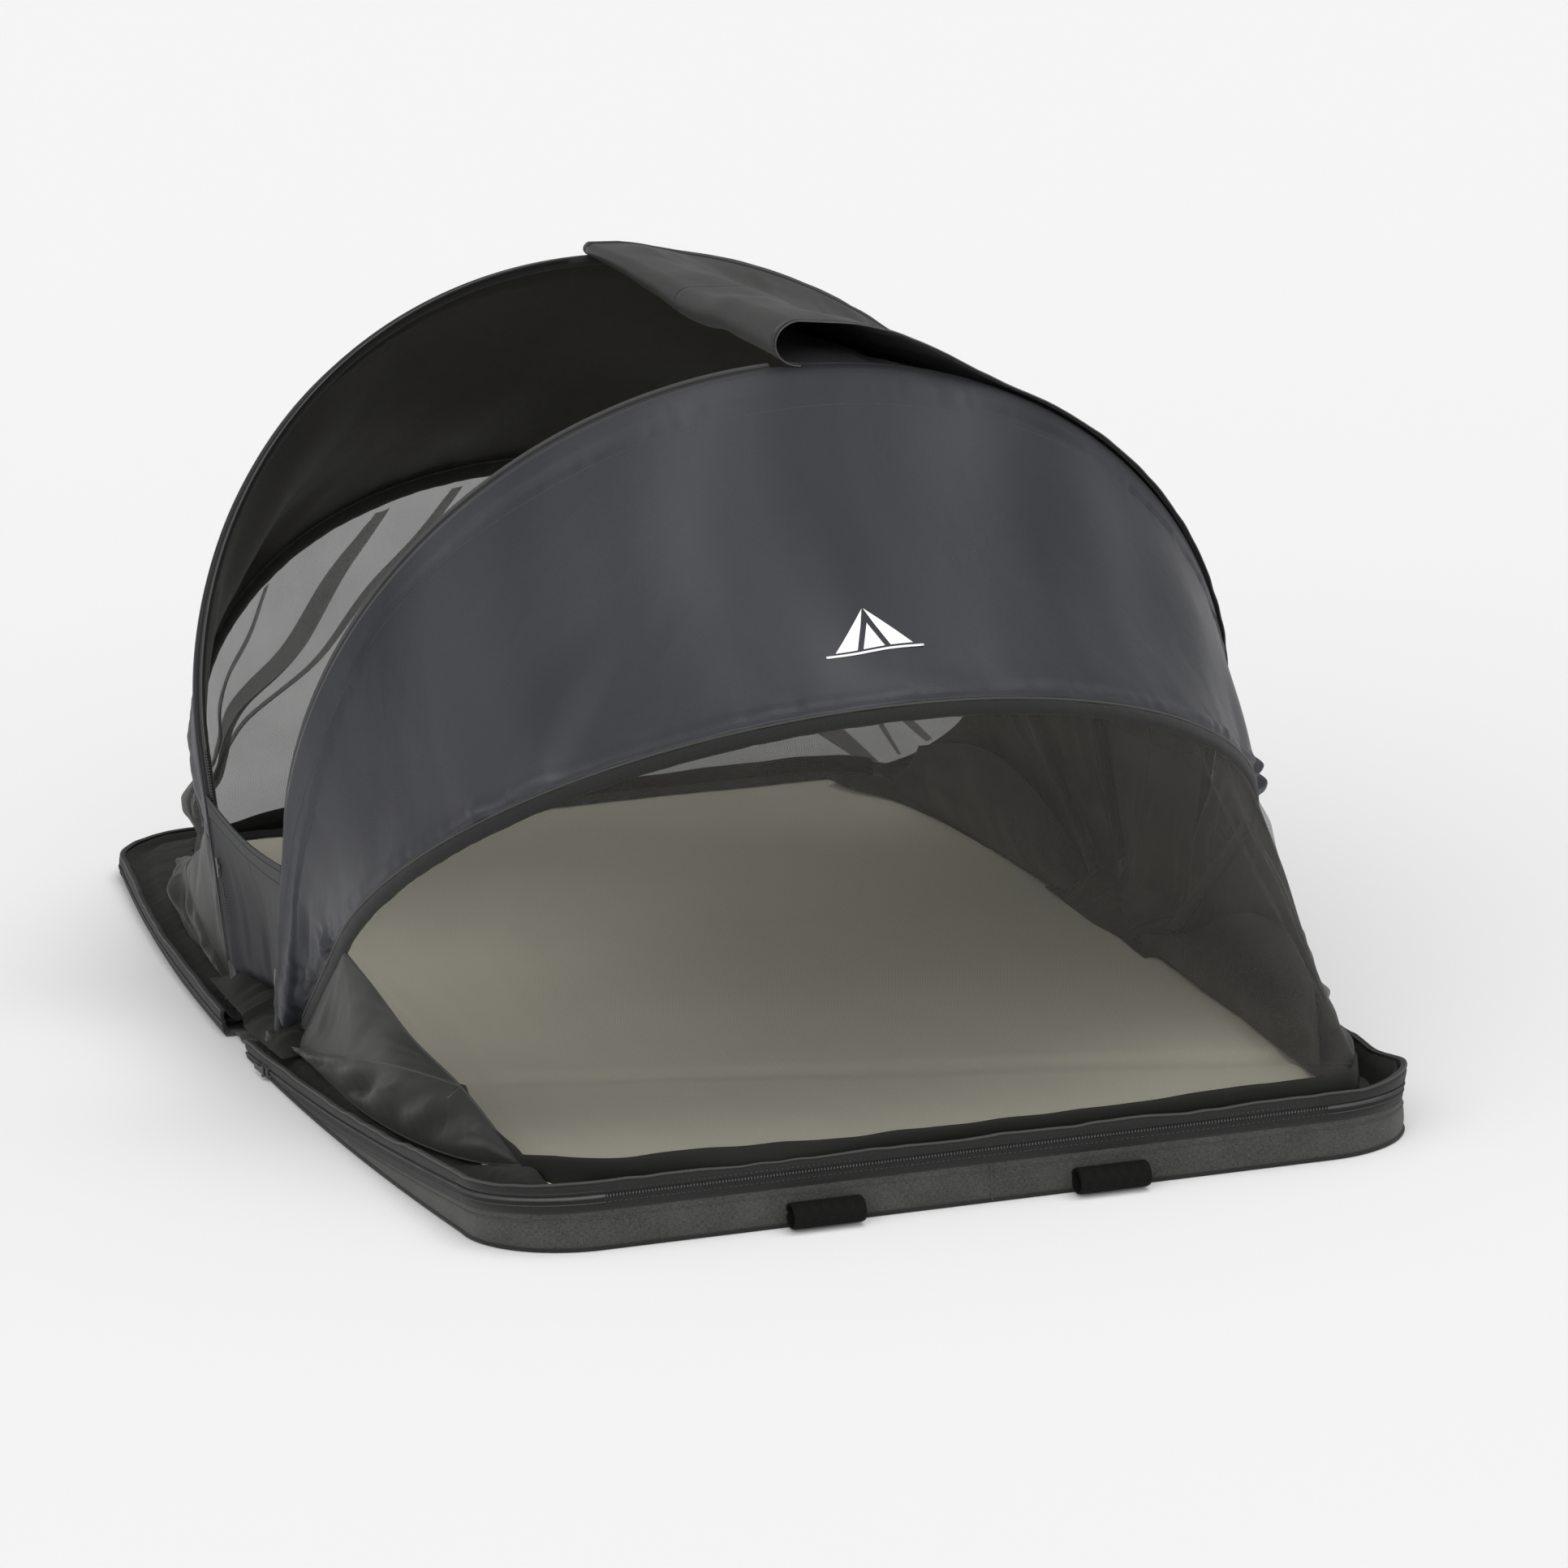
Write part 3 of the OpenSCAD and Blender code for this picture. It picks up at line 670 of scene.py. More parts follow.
def build_rim(edge, body, tape_high, top, lean):
    """The bound rim, with a light piping along its top."""
    low = np.minimum(tape_high, top - 0.004)
    rim = [
        (0.0004, low),
        (0.0016 + lean * 0.3, low + 0.0008),
        (0.0017 + lean * 0.7, low + (top - low) * 0.6),
        (0.0008 + lean, top - 0.0006),
        (-0.0006 + lean, top),
    ]
    bound = edge_wall(body + "_rim_binding", edge, rim, BINDING, closed_inside=0.0026)
    finish_piece(bound, body, "black_binding", [] if edge.rear else ["tray_rim"])
    light = seam(body + "_rim_piping", edge, 0.0006 + lean, top - 0.0001, 0.0008, PIPING)
    finish_piece(light, body, "black_binding")


def build_lining(edge, body, top):
    """Lining from the rim down beside the pads and up over their edge, slack and slightly puckered."""
    across = np.linspace(0, 1, 26)
    corner = bump_at(edge.d, 0.54, 0.12)
    reach = 0.047 - 0.009 * (edge.d / TRAY_LENGTH) ** 2
    reach = reach + (0.012 + 0.030 * corner if edge.rear else 0.012 * corner)
    start, low = top - 0.0016, BOARD_TOP + 0.0070
    end = PAD_TOP + 0.0042 + (0.004 if edge.rear else 0.017) * corner
    rows = []
    for k in across:
        drop = start + (np.minimum(low, start) - start) * math.sin(min(k / 0.14, 1) * math.pi / 2)
        rise = 0.6 * fade(k, 0.14, 0.32) + 0.4 * fade(k, 0.40, 0.70)
        height = drop * (1 - rise) + end * rise
        rows.append(edge.at(-0.0032 - (reach - 0.0032) * k, height))
    grid = np.stack(rows, axis=1)
    run = edge.run[:, None]
    grid[..., 2] += 0.0016 * noise(run / 0.03, across * 3, 21) * np.sin(math.pi * across)
    grid[..., 2] += 0.0006 * noise(run / 0.009, across * 4, 22)
    lining = cloth(body + "_lining", grid, LINING, inside=(0, 0, -5.0))
    finish_piece(lining, body, "black_binding")
    declare(lining, "stretched", [body + "_board"])


def build_case_side(edge, body):
    """Wall, zip, rim and lining along the edge of the tray or the lid."""
    top = edge.rim + 0.0009 * noise(edge.run / 0.045, 0, 5) + 0.0005 * noise(edge.run / 0.013, 3, 6)
    lean = 0.0010 * noise(edge.run / 0.06, 7, 8)
    tape_low = np.maximum(edge.rim - RIM_HEIGHT - TAPE_HEIGHT, WALL_FOOT + 0.0018)
    tape_high = np.maximum(edge.rim - RIM_HEIGHT, WALL_FOOT + 0.0022)
    if edge.rear:
        tape_low = np.full_like(edge.rim, 0.0035)
    else:
        # The tape stands up and curls a little past the right front corner
        curl = bump_at(edge.run, edge.run[-1] * 0.70, 0.07)
        top = top + 0.0035 * curl
        lean = lean + 0.0030 * curl
        build_tray_wall(edge, tape_low)
    build_case_zip(edge, body, tape_low, tape_high)
    build_rim(edge, body, tape_high, top, lean)
    build_lining(edge, body, top)


def build_base(edge, body):
    """Fabric underside of the tray or the lid, as a grid from side to side."""
    border_line = edge.at(-0.0012, 0.0016)
    half = len(border_line) // 2
    left, right = border_line[:half:3], border_line[::-1][:half:3]
    share = np.linspace(0, 1, 60)[None, :, None]
    grid = left[:, None] * (1 - share) + right[:, None] * share
    ease = 0.0004 * noise(grid[..., 0] / 0.07, grid[..., 1] / 0.07, 31)
    grid[..., 2] += ease - 0.0004
    base = cloth(body + "_underside", grid, MELANGE, thickness=0.0012, inside=(0, 0, 1.0))
    finish_piece(base, body, "melange_fabric", [body + "_base"])
    declare(base, "stretched", [body + "_board"])


def build_spine():
    """The soft strip between the tray and the lid, with folds along it."""
    across = np.linspace(-1, 1, 41)
    along = np.linspace(-1, 1, 90)
    x = along * (half_width(0.0) - 0.005)
    y = across[:, None] * (SPINE_HALF + 0.001)
    folds = (0.0013 * np.cos(across * math.pi * 3) * (1 - np.abs(across) ** 4))[:, None]
    z = 0.0030 + folds + 0.0005 * noise(x / 0.03, y / 0.01, 41)
    grid = np.stack(np.broadcast_arrays(x, y, z), axis=2)
    spine = cloth("spine_fabric", grid, MELANGE, thickness=0.0014, inside=(0, 0, -1.0))
    dress(spine, "melange_fabric", "spine")
    declare(spine, "stretched", ["tray_underside", "lid_underside"])
    return spine


# ---- Mattress ----


def pad_outline(inset):
    """Outline of the front pad, with notches for the brackets of the hoops."""
    last = TRAY_LENGTH - CORNER_RADIUS
    near = SPINE_HALF + 0.003
    notch_low, notch_high, notch_x = PIVOT_SETBACK - 0.019, PIVOT_SETBACK + 0.019, 0.308
    side = [(half_width(d) - inset, -d) for d in np.linspace(near, notch_low, 3)]
    side += [(notch_x, -notch_low), (notch_x, -notch_high)]
    side += [(half_width(d) - inset, -d) for d in np.linspace(notch_high, last, 24)]
    radius = CORNER_RADIUS - inset
    centre = half_width(last) - CORNER_RADIUS
    for turn in np.radians(np.arange(8, 91, 8)):
        side.append((centre + radius * math.cos(turn), -last - radius * math.sin(turn)))
    return side + [(-x, y) for x, y in reversed(side)]


def stuffed_pad():
    """The front pad, swollen by a cloth simulation with air pressure inside it."""
    outline = pad_outline(0.0190)
    count = len(outline)
    bottom, top = BOARD_TOP + 0.0008, PAD_TOP - 0.0024
    points = np.array([(x, y, bottom) for x, y in outline] + [(x, y, top) for x, y in outline])
    faces = [(k, (k + 1) % count, count + (k + 1) % count, count + k) for k in range(count)]
    faces += [tuple(range(count - 1, -1, -1)), tuple(range(count, 2 * count))]
    pad = add_mesh("mattress_front_pad", points, faces, PAD)
    bpy.context.view_layer.objects.active = pad
    remesh = pad.modifiers.new("remesh", "REMESH")
    remesh.mode = "VOXEL"
    remesh.voxel_size = 0.005
    bpy.ops.object.modifier_apply(modifier="remesh")
    rest = np.array([v.co for v in pad.data.vertices])
    swell = pad.modifiers.new("swell", "CLOTH")
    swell.settings.use_pressure = True
    swell.settings.uniform_pressure_force = 4
    swell.settings.effector_weights.gravity = 0
    swell.settings.quality = 4
    swell.point_cache.frame_end = 16
    for step in range(1, 17):
        bpy.context.scene.frame_set(step)
    bpy.ops.object.modifier_apply(modifier="swell")
    bpy.context.scene.frame_set(1)
    moved = np.array([v.co for v in pad.data.vertices]) - rest
    length = np.linalg.norm(moved, axis=1, keepdims=True)
    moved *= np.minimum(1, 0.005 / np.maximum(length, 1e-9))
    final = rest + moved
    # Lengthways and crossways softness, and a flat underside on the board
    lift = fade(final[:, 2], bottom + 0.002, top)
    final[:, 2] += 0.0010 * lift * noise(final[:, 0] / 0.09, final[:, 1] / 0.12, 51)
    final[:, 2] += 0.0004 * lift * noise(final[:, 0] / 0.02, final[:, 1] / 0.03, 52)
    final[:, 2] = np.clip(final[:, 2], BOARD_TOP + 0.0003, PAD_TOP + 0.0002)
    pad.data.vertices.foreach_set("co", final.astype(np.float32).ravel())
    pad.data.update()
    smooth = pad.modifiers.new("smooth", "SMOOTH")
    smooth.iterations = 4
    bpy.ops.object.modifier_apply(modifier="smooth")
    pad.data.shade_smooth()
    return pad


def build_pads():
    """The front and rear pads, each with a piping round its upper edge."""
    front = stuffed_pad()
    rear = bpy.data.objects.new("mattress_rear_pad", front.data.copy())
    bpy.context.scene.collection.objects.link(rear)
    mirror = np.array([v.co for v in rear.data.vertices]) * [1, -1, 1]
    rear.data.vertices.foreach_set("co", mirror.astype(np.float32).ravel())
    rear.data.flip_normals()
    rear.data.update()
    for pad, body, node in ((front, "tray", "mattress_front"), (rear, "lid", "mattress_rear")):
        finish_piece(pad, body, "mattress_fabric", [node])
        outline = np.array([(x, y, PAD_TOP - 0.004) for x, y in pad_outline(0.0176)])
        outline = flipped(outline, body == "lid")
        outline = resampled(np.concatenate([outline, outline[:1]]), 0.004)
        along = unit(np.gradient(outline, axis=0))
        out = unit(np.stack([along[:, 1], -along[:, 0], 0 * along[:, 0]], axis=1))
        up = np.tile([0.0, 0.0, 1.0], (len(outline), 1))
        cord = swept(node + "_piping", outline, out, up, round_profile(0.0012, 8), PAD)
        finish_piece(cord, body, "mattress_fabric")


def build_cover():
    """The quilted sheet that lies over both pads and bridges the fold between them."""
    rows, columns = 240, 150
    end = TRAY_LENGTH - 0.027
    y = np.linspace(-end, end, rows)
    share = np.linspace(-1, 1, columns)
    d = np.abs(y)
    last = TRAY_LENGTH - CORNER_RADIUS
    round_off = np.clip((d - last) / (CORNER_RADIUS - 0.0270), 0, 1)
    wide = 0.311 - 0.018 * fade(d, 0.30, 0.58) - 0.010 * fade(y, 0.25, 0.50)
    wide = wide - (CORNER_RADIUS - 0.0300) * (1 - np.sqrt(np.maximum(0.0, 1 - round_off**2))) * 0.97
    wide = wide + 0.002 * noise(y / 0.09, 0.5, 123)
    x = share * wide[:, None]
    y = np.broadcast_to(y[:, None], x.shape)
    # Soft hollows and crests; the front part slopes away beyond a slanting crease
    z = PAD_TOP + 0.0030 + 0.0014 * noise(x / 0.16, y / 0.16, 121) + 0.0005 * noise(x / 0.035, y / 0.05, 122)
    crease = -(y + 0.315 + 0.33 * x)
    z = z + 0.0110 * fade(crease, 0.0, 0.24) - 0.0022 * bump_at(crease, 0.0, 0.030)
    rim = np.minimum((1 - np.abs(share)) * wide[:, None], (end - np.abs(y)))
    z = z - 0.0020 * (1 - fade(rim, 0.0, 0.010))
    z = np.where(np.abs(y) < 0.05, np.minimum(z, PAD_TOP + 0.0040), z)
    grid = np.stack([x, y, z], axis=2)
    cover = cloth("mattress_cover", grid, COVER, thickness=0.0012, inside=(0, 0, -1.0))
    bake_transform(cover)
    declare(cover, "laid", ["mattress_front_pad", "mattress_rear_pad"])


def build_fold_covers():
    """Bunched dark cloth over the brackets of the hoops, at both ends of the fold."""
    for side, label in ((-1, "left"), (1, "right")):
        y = np.linspace(-0.118, 0.118, 170)
        w = np.linspace(0, 1, 64)
        rim = np.where(y < 0, tray_rim(-y), lid_rim(y)) + 0.0035
        far = side * (half_width(np.abs(y)) - 0.0045)
        near = side * (0.297 + 0.004 * noise(y / 0.05, 0.5, 141 + side))
        x = far[:, None] * (1 - w) + near[:, None] * w
        z = rim[:, None] * (1 - w) + (PAD_TOP + 0.0060) * w
        over = 0.6 + 0.4 * bump_at(np.abs(y), PIVOT_SETBACK, 0.035)
        heap = 0.0170 * (over * fade(np.abs(y), 0.118, 0.085))[:, None] * np.sin(math.pi * w**0.8)
        folds = 0.0050 * noise(y[:, None] / 0.022 + w * 1.5, w * 1.6, 143 + side)
        folds += 0.0020 * noise(y[:, None] / 0.008, w * 2.5, 145 + side)
        z = z + heap + folds * np.sin(math.pi * w)
        grid = np.stack([x, np.broadcast_to(y[:, None], x.shape), z], axis=2)
        cover = cloth(f"fold_cover_{label}", grid, LINING, thickness=0.0010, inside=(0, 0, -1.0))
        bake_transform(cover)
        declare(cover, "gathered", ["tray_lining", "lid_lining"])


# ---- Hoops ----


def hoop_length(hoop):
    """Length of a hoop from foot to foot."""
    return 2 * hoop[1] + math.pi * hoop[0]


def hoop_point(hoop, t, out=0.0, forward=0.0):
    """Points on a front hoop; t goes from 0 at the right foot over the top to 1 at the left foot.
    out moves them outwards in the hoop's plane, and forward moves them square to it, towards the window."""
    radius, centre, angle = hoop
    t = np.asarray(t, float)
    run = t * hoop_length(hoop)
    turn = np.clip((run - centre) / radius, 0, math.pi)
    x = (radius + out) * np.cos(turn)
    leg = np.minimum(run, hoop_length(hoop) - run)
    rise = np.where(leg < centre, leg, centre + (radius + out) * np.sin(turn))
    y = -PIVOT_SETBACK - rise * math.cos(angle) - forward * math.sin(angle)
    z = PIVOT_HEIGHT + rise * math.sin(angle) - forward * math.cos(angle)
    return np.stack([x, y, z], axis=-1)


def hoop_share(hoop, height):
    """Share of a hoop's length at a height above its foot, measured along the hoop."""
    return height / hoop_length(hoop)


def hoop_cord(name, hoop, rear, radius, out, forward, low, material, ruffle=0.0, sides=12, depth=1.0):
    """A tube along a hoop, from the share low of its length to the same share from its far end. ruffle puckers
    it like gathered cloth, and depth is how many times deeper than wide it is, square to the hoop."""
    count = int((1 - 2 * low) * hoop_length(hoop) / 0.0035)
    t = np.linspace(low, 1 - low, count)
    middle = hoop_point(hoop, t, out, forward)
    outwards = unit(hoop_point(hoop, t, out + 0.01, forward) - middle)
    forwards = unit(hoop_point(hoop, t, out, forward + 0.01) - middle)
    angles = np.linspace(0, 2 * math.pi, sides, endpoint=False)
    run = t[:, None] * hoop_length(hoop)
    around = np.cos(angles) * 1.5
    thick = radius + ruffle * noise(run / 0.006, around + 9, 61) + ruffle * noise(run / 0.02, around, 62)
    profile = np.stack([np.cos(angles) * thick, np.sin(angles) * thick * depth], axis=2)
    middle, outwards, forwards = (flipped(v, rear) for v in (middle, outwards, forwards))
    return swept(name, middle, outwards, forwards, profile, material)


def build_sleeves(rear):
    """The sleeve of the main hoop, and the binding and piping of the window hoop."""
    word = WORDS[rear]
    window, main = word + "_window_hoop", word + "_hoop"
    low = hoop_share(MAIN, 0.028)
    sleeve = hoop_cord(word + "_main_sleeve", MAIN, rear, 0.0040, 0, 0, low, SLEEVE, ruffle=0.0002)
    finish_piece(sleeve, main, "tent_fabric", [word + "_hoop_sleeve"])
    low = hoop_share(WINDOW, 0.028)
    sleeve = hoop_cord(word + "_window_binding", WINDOW, rear, 0.0042, 0, 0.0012, low, BINDING,
                       ruffle=0.00025, depth=1.45)
    finish_piece(sleeve, window, "black_binding", [word + "_window_sleeve"])
    piping = hoop_cord(word + "_window_piping", WINDOW, rear, 0.0009, 0.0036, -0.0032, low, PIPING, sides=8)
    finish_piece(piping, window, "black_binding")


# ---- Tent fabric ----


def squash_to_hoop(pieces, body):
    """Puts slack fabric on its hoop's body, each piece with a mesh of its own."""
    for piece in pieces:
        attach(piece, body)
        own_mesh(piece)


def lines_between(first, second, shares):
    """A grid of points on the straight lines between two edges."""
    w = np.asarray(shares)[None, :, None]
    return first[:, None] * (1 - w) + second[:, None] * w


def build_visor(rear):
    """The panel between the main hoop and the window hoop, gathered where it meets the window's binding."""
    word = WORDS[rear]
    rows, columns = 760, 84
    t = np.linspace(0.018, 0.982, rows)
    w = np.linspace(0, 1, columns)
    w = 0.5 * w + 0.5 * (1 - (1 - w) ** 2.0)
    top = hoop_point(MAIN, t, out=0.0042, forward=0.0012)
    low = hoop_point(WINDOW, t, out=0.0038, forward=-0.0040)
    grid = lines_between(top, low, w)
    run = t[:, None] * hoop_length(WINDOW)
    span = np.linalg.norm(low - top, axis=1)[:, None]
    depth = w * span
    left_over = span - depth
    middle = np.sin(math.pi * w)
    foot = fade(np.abs(t - 0.5)[:, None], 0.35, 0.43)
    # The cloth is drawn tight between the two curves, so it hollows a little
    push = -0.030 * span * middle
    # Tunnel for the main hoop, with its puckered seam
    seam_depth = 0.0235
    tunnel = 0.0016 * fade(depth, 0.024, 0.020) - 0.0010 * bump_at(depth, seam_depth, 0.003)
    push += tunnel + 0.0007 * noise(run / 0.007, 1.5, 76) * bump_at(depth, 0.024, 0.014)
    # Gathers that puff over the binding
    strength = 0.30 + 0.70 * fade(noise(run / 0.13, 0.3, 71 + rear), -0.25, 0.45) + 0.2 * foot
    strength = strength * (0.35 - 0.2 * foot if rear else 1.0 - 0.6 * foot)
    comb = noise(run / 0.0085, 0.5, 72) + 0.7 * noise(run / 0.0170, 4.5, 73)
    near_binding = fade(left_over, 0.024 + 0.018 * foot, 0.005) * fade(left_over, 0, 0.003)
    push += 0.0062 * strength**1.5 * comb * near_binding
    push += 0.0036 * strength * bump_at(left_over, 0.008, 0.009)
    # Soft folds that rise from the gathers and fade into the panel
    ripple = noise(run / 0.026 + depth / 0.3, depth / 0.12, 77 + rear) * fade(left_over, 0.13, 0.015)
    push += 0.0034 * strength * ripple * fade(left_over, 0, 0.006)
    broad = noise(run / 0.13 + depth / 0.22, depth / 0.18, 75 + rear)
    push += 0.0120 * broad * middle
    push += 0.0060 * noise(run / 0.075, depth / 0.5, 74) * middle * (1 - foot)
    # A deeper fold that leans across the left part
    lean = t[:, None] + 0.10 * (left_over / 0.2)
    push += 0.0060 * bump_at(lean, 0.690, 0.026) * fade(left_over, 0.12, 0.03) * fade(left_over, 0, 0.01)
    # Upright folds that run into the feet, weaker on the rear panel
    at_foot = (0.4 if rear else 1.0) * foot * middle
    push += 0.0018 * at_foot * np.sin(depth / 0.0042 + 30 * t[:, None])
    push += 0.0026 * at_foot * noise(run / 0.05, depth / 0.009, 78)
    if rear:
        # The rear panel hangs slacker, in long slanting folds
        push += 0.0120 * noise(run / 0.11 - depth / 0.10, depth / 0.30, 79) * middle
    push = push * fade(w, 0, 0.02) * fade(1 - w, 0, 0.006)
    outward = outward_sign(grid)
    grid = pushed(grid, outward * push)
    across = int(np.argmin(np.abs(w * span.mean() - seam_depth)))
    seam_line = flipped(grid[:, across], rear)
    seam_up = flipped(outward * grid_normals(grid)[:, across], rear)
    visor = cloth(word + "_visor_panel", flipped(grid, rear), (TENT, TENT_INSIDE), inside=(0, 0, 0.1))
    dress(visor, "tent_fabric", word + "_visor")
    rows_of_thread = stitched(word + "_visor_stitching", seam_line, seam_up, THREAD)
    declare(visor, "stretched", [word + "_main_sleeve", word + "_window_binding"], [rows_of_thread])
    squash_to_hoop([visor, rows_of_thread], word + "_window_hoop")
    return grid, outward


def curve(points, w):
    """A smooth curve through a few points, evenly spaced along it; w runs from 0 to 1."""
    points = np.array(points, float)
    knots = lengths(points)
    slopes = np.gradient(points, knots, axis=0)
    fine = np.linspace(0, knots[-1], 400)
    k = np.clip(np.searchsorted(knots, fine, side="right") - 1, 0, len(knots) - 2)
    step = (knots[k + 1] - knots[k])[:, None]
    a = ((fine - knots[k])[:, None]) / step
    line = points[k] * (1 + 2 * a) * (1 - a) ** 2 + slopes[k] * step * a * (1 - a) ** 2
    line = line + points[k + 1] * a**2 * (3 - 2 * a) + slopes[k + 1] * step * a**2 * (a - 1)
    along = lengths(line)
    wanted = np.asarray(w, float) * along[-1]
    return np.stack([np.interp(wanted, along, line[:, i]) for i in range(3)], axis=-1)


def seams_of(side, rear):
    """Points of the three seams of a side panel: the window seam from the window hoop down to the end corner,
    the middle seam from the hoop's foot to the window seam, and the lower seam from there to the end corner."""
    if side < 0:
        start = hoop_point(WINDOW, SEAM_LEFT, out=0.001, forward=0.004) * np.array([-1, 1, 1])
        joint = (-0.297, -0.402, 0.065)
        window = [start, (-0.322, -0.268, 0.104), (-0.312, -0.325, 0.083), joint, (-0.284, -0.512, 0.036)]
        middle = [(-0.342, -0.096, 0.020), (-0.341, -0.180, 0.038), (-0.335, -0.268, 0.055),
                  (-0.322, -0.345, 0.066), joint]
    else:
        start = hoop_point(WINDOW, SEAM_RIGHT, out=0.001, forward=0.004)
        joint = (0.311, -0.450, 0.076)
        window = [start, (0.325, -0.338, 0.134), (0.321, -0.380, 0.105), joint, (0.298, -0.548, 0.048)]
        middle = [(0.342, -0.096, 0.020), (0.343, -0.180, 0.040), (0.342, -0.270, 0.058),
                  (0.334, -0.360, 0.070), joint]
    lower = [(side * 0.340, -0.080, 0.016), (side * 0.338, -0.180, 0.017), (side * 0.336, -0.287, 0.020),
             (side * 0.322, -0.390, 0.023), (side * 0.304, -0.460, 0.028), window[-1]]
    drop = (FRONT_RIM - LID_RIM) if rear else 0.0

    def lowered(points):
        """The lid's edge is lower than the tray's, so the seams of the rear half end lower."""
        points = np.array(points, float)
        points[:, 2] -= drop * np.clip((-points[:, 1] - 0.15) / 0.45, 0, 1) * fade(points[:, 2], 0.16, 0.05)
        points[:, 2] = np.maximum(points[:, 2], PAD_TOP + 0.0015)
        return points

    return lowered(window), lowered(middle), lowered(lower)


# Share of the netting's lower edge that runs along each window seam; the rest runs along the rim
SEAM_SHARE = 0.24


def netting_hem(share, rear):
    """Lower edge of the netting: down the right window seam, along the rim and up the left window seam."""
    rim = LID_RIM if rear else FRONT_RIM
    right, left = seams_of(1, rear)[0], seams_of(-1, rear)[0]
    front = [right[-1], (0.276, -0.590, rim + 0.001), (0.200, -0.5945, rim + 0.001),
             (0.0, -0.5945, rim + 0.001), (-0.200, -0.5945, rim + 0.001), (-0.250, -0.574, rim - 0.002),
             left[-1]]
    down = curve(right, np.clip(share / SEAM_SHARE, 0, 1))
    along = curve(front, np.clip((share - SEAM_SHARE) / (1 - 2 * SEAM_SHARE), 0, 1))
    up = curve(left[::-1], np.clip((share - 1 + SEAM_SHARE) / SEAM_SHARE, 0, 1))
    line = np.where((share < SEAM_SHARE)[:, None], down, along)
    return np.where((share > 1 - SEAM_SHARE)[:, None], up, line)


def build_netting(rear):
    """Netting from the window hoop down to the side panels and the rim, hollow between its edges."""
    word = WORDS[rear]
    rows, columns = 360, 84
    first, last = SEAM_RIGHT, 1 - SEAM_LEFT
    t = np.linspace(first, last, rows)
    share = (t - first) / (last - first)
    w = np.linspace(0, 1, columns)
    top = hoop_point(WINDOW, t, out=0.0004, forward=0.0064)
    grid = lines_between(top, netting_hem(share, rear), w)
    # A film pulled tight would fall in towards the middle; the netting does so only in part
    tight = relaxed(grid, 600, border(grid))
    grid = 0.5 * grid + 0.5 * tight
    run = t[:, None] * hoop_length(WINDOW)
    middle = np.sin(math.pi * w)
    ends = fade(np.abs(t - 0.5)[:, None], 0.14, 0.26)
    folds = 0.0030 * noise(run / 0.09, w * 1.2, 81 + rear) * middle
    folds += 0.0060 * ends * noise(run / 0.030 + w * 1.9, w * 1.3, 82) * middle
    if rear:
        slant = run / 0.10 + w * 2.6
        folds += 0.018 * noise(slant, w * 0.8, 85) * middle
    gathers = 0.0012 * noise(run / 0.007, 0.5, 83) * fade(w, 0.10, 0.0)
    tips = fade(t, first, first + 0.02) * fade(t, last, last - 0.02)
    grid = pushed(grid, outward_sign(grid) * (folds + gathers) * fade(w, 0, 0.03) * tips[:, None])
    net = cloth(word + "_netting", flipped(grid, rear), NET_DENSE if rear else NET, thickness=0)
    dress(net, "netting", word + "_mesh")
    # The loose strip of lining that the netting's lower edge is sewn to
    front = (share > SEAM_SHARE) & (share < 0.80)
    edge = grid[front, -1]
    down = unit(unit(grid[front, -1] - grid[front, -6]) * [0.15, 0.15, 0] + [0, 0, -1.0])
    across = unit(np.cross(np.gradient(edge, axis=0), down))
    run = run[front, 0]
    width = 0.0100 + 0.0050 * noise(run / 0.10, 0.2, 84) + 0.0010 * noise(run / 0.02, 5.2, 86)
    width = (width + 0.004 * bump_at(share[front], 0.735, 0.06)) * fade(share[front], 0.805, 0.765)
    tape = [(0.0006, -0.8), (0.0009, -0.5), (0.0009, 0.9), (-0.0007, 0.9), (-0.0007, -0.5), (-0.0006, -0.8)]
    profile = np.stack([np.stack([np.full_like(width, a), width * b], axis=1) for a, b in tape], axis=1)
    edge, across, down = (flipped(v, rear) for v in (edge, across, down))
    bound = swept(word + "_netting_hem", edge, across, down, profile, LINING)
    declare(net, "stretched", [word + "_window_binding"], [bound])
    return net, bound, grid


def spot_on(grid, row, column):
    """Points on a grid at fractional rows and columns."""
    i = np.clip(np.floor(row).astype(int), 0, grid.shape[0] - 2)
    j = np.clip(np.floor(column).astype(int), 0, grid.shape[1] - 2)
    a, b = (row - i)[..., None], (column - j)[..., None]
    near = grid[i, j] * (1 - b) + grid[i, j + 1] * b
    far = grid[i + 1, j] * (1 - b) + grid[i + 1, j + 1] * b
    return near * (1 - a) + far * a


# Each pleat's start at the window hoop, its end at the hem and its width, as shares of the netting's length
PLEATS = {
    False: [(0.10, 0.17, 0.016), (0.16, 0.21, 0.010)],
    True: [
        (0.56, 0.95, 0.060), (0.70, 0.975, 0.020), (0.50, 0.88, 0.018),
        (0.47, 0.24, 0.040), (0.36, 0.14, 0.024), (0.28, 0.19, 0.014),
    ],
}


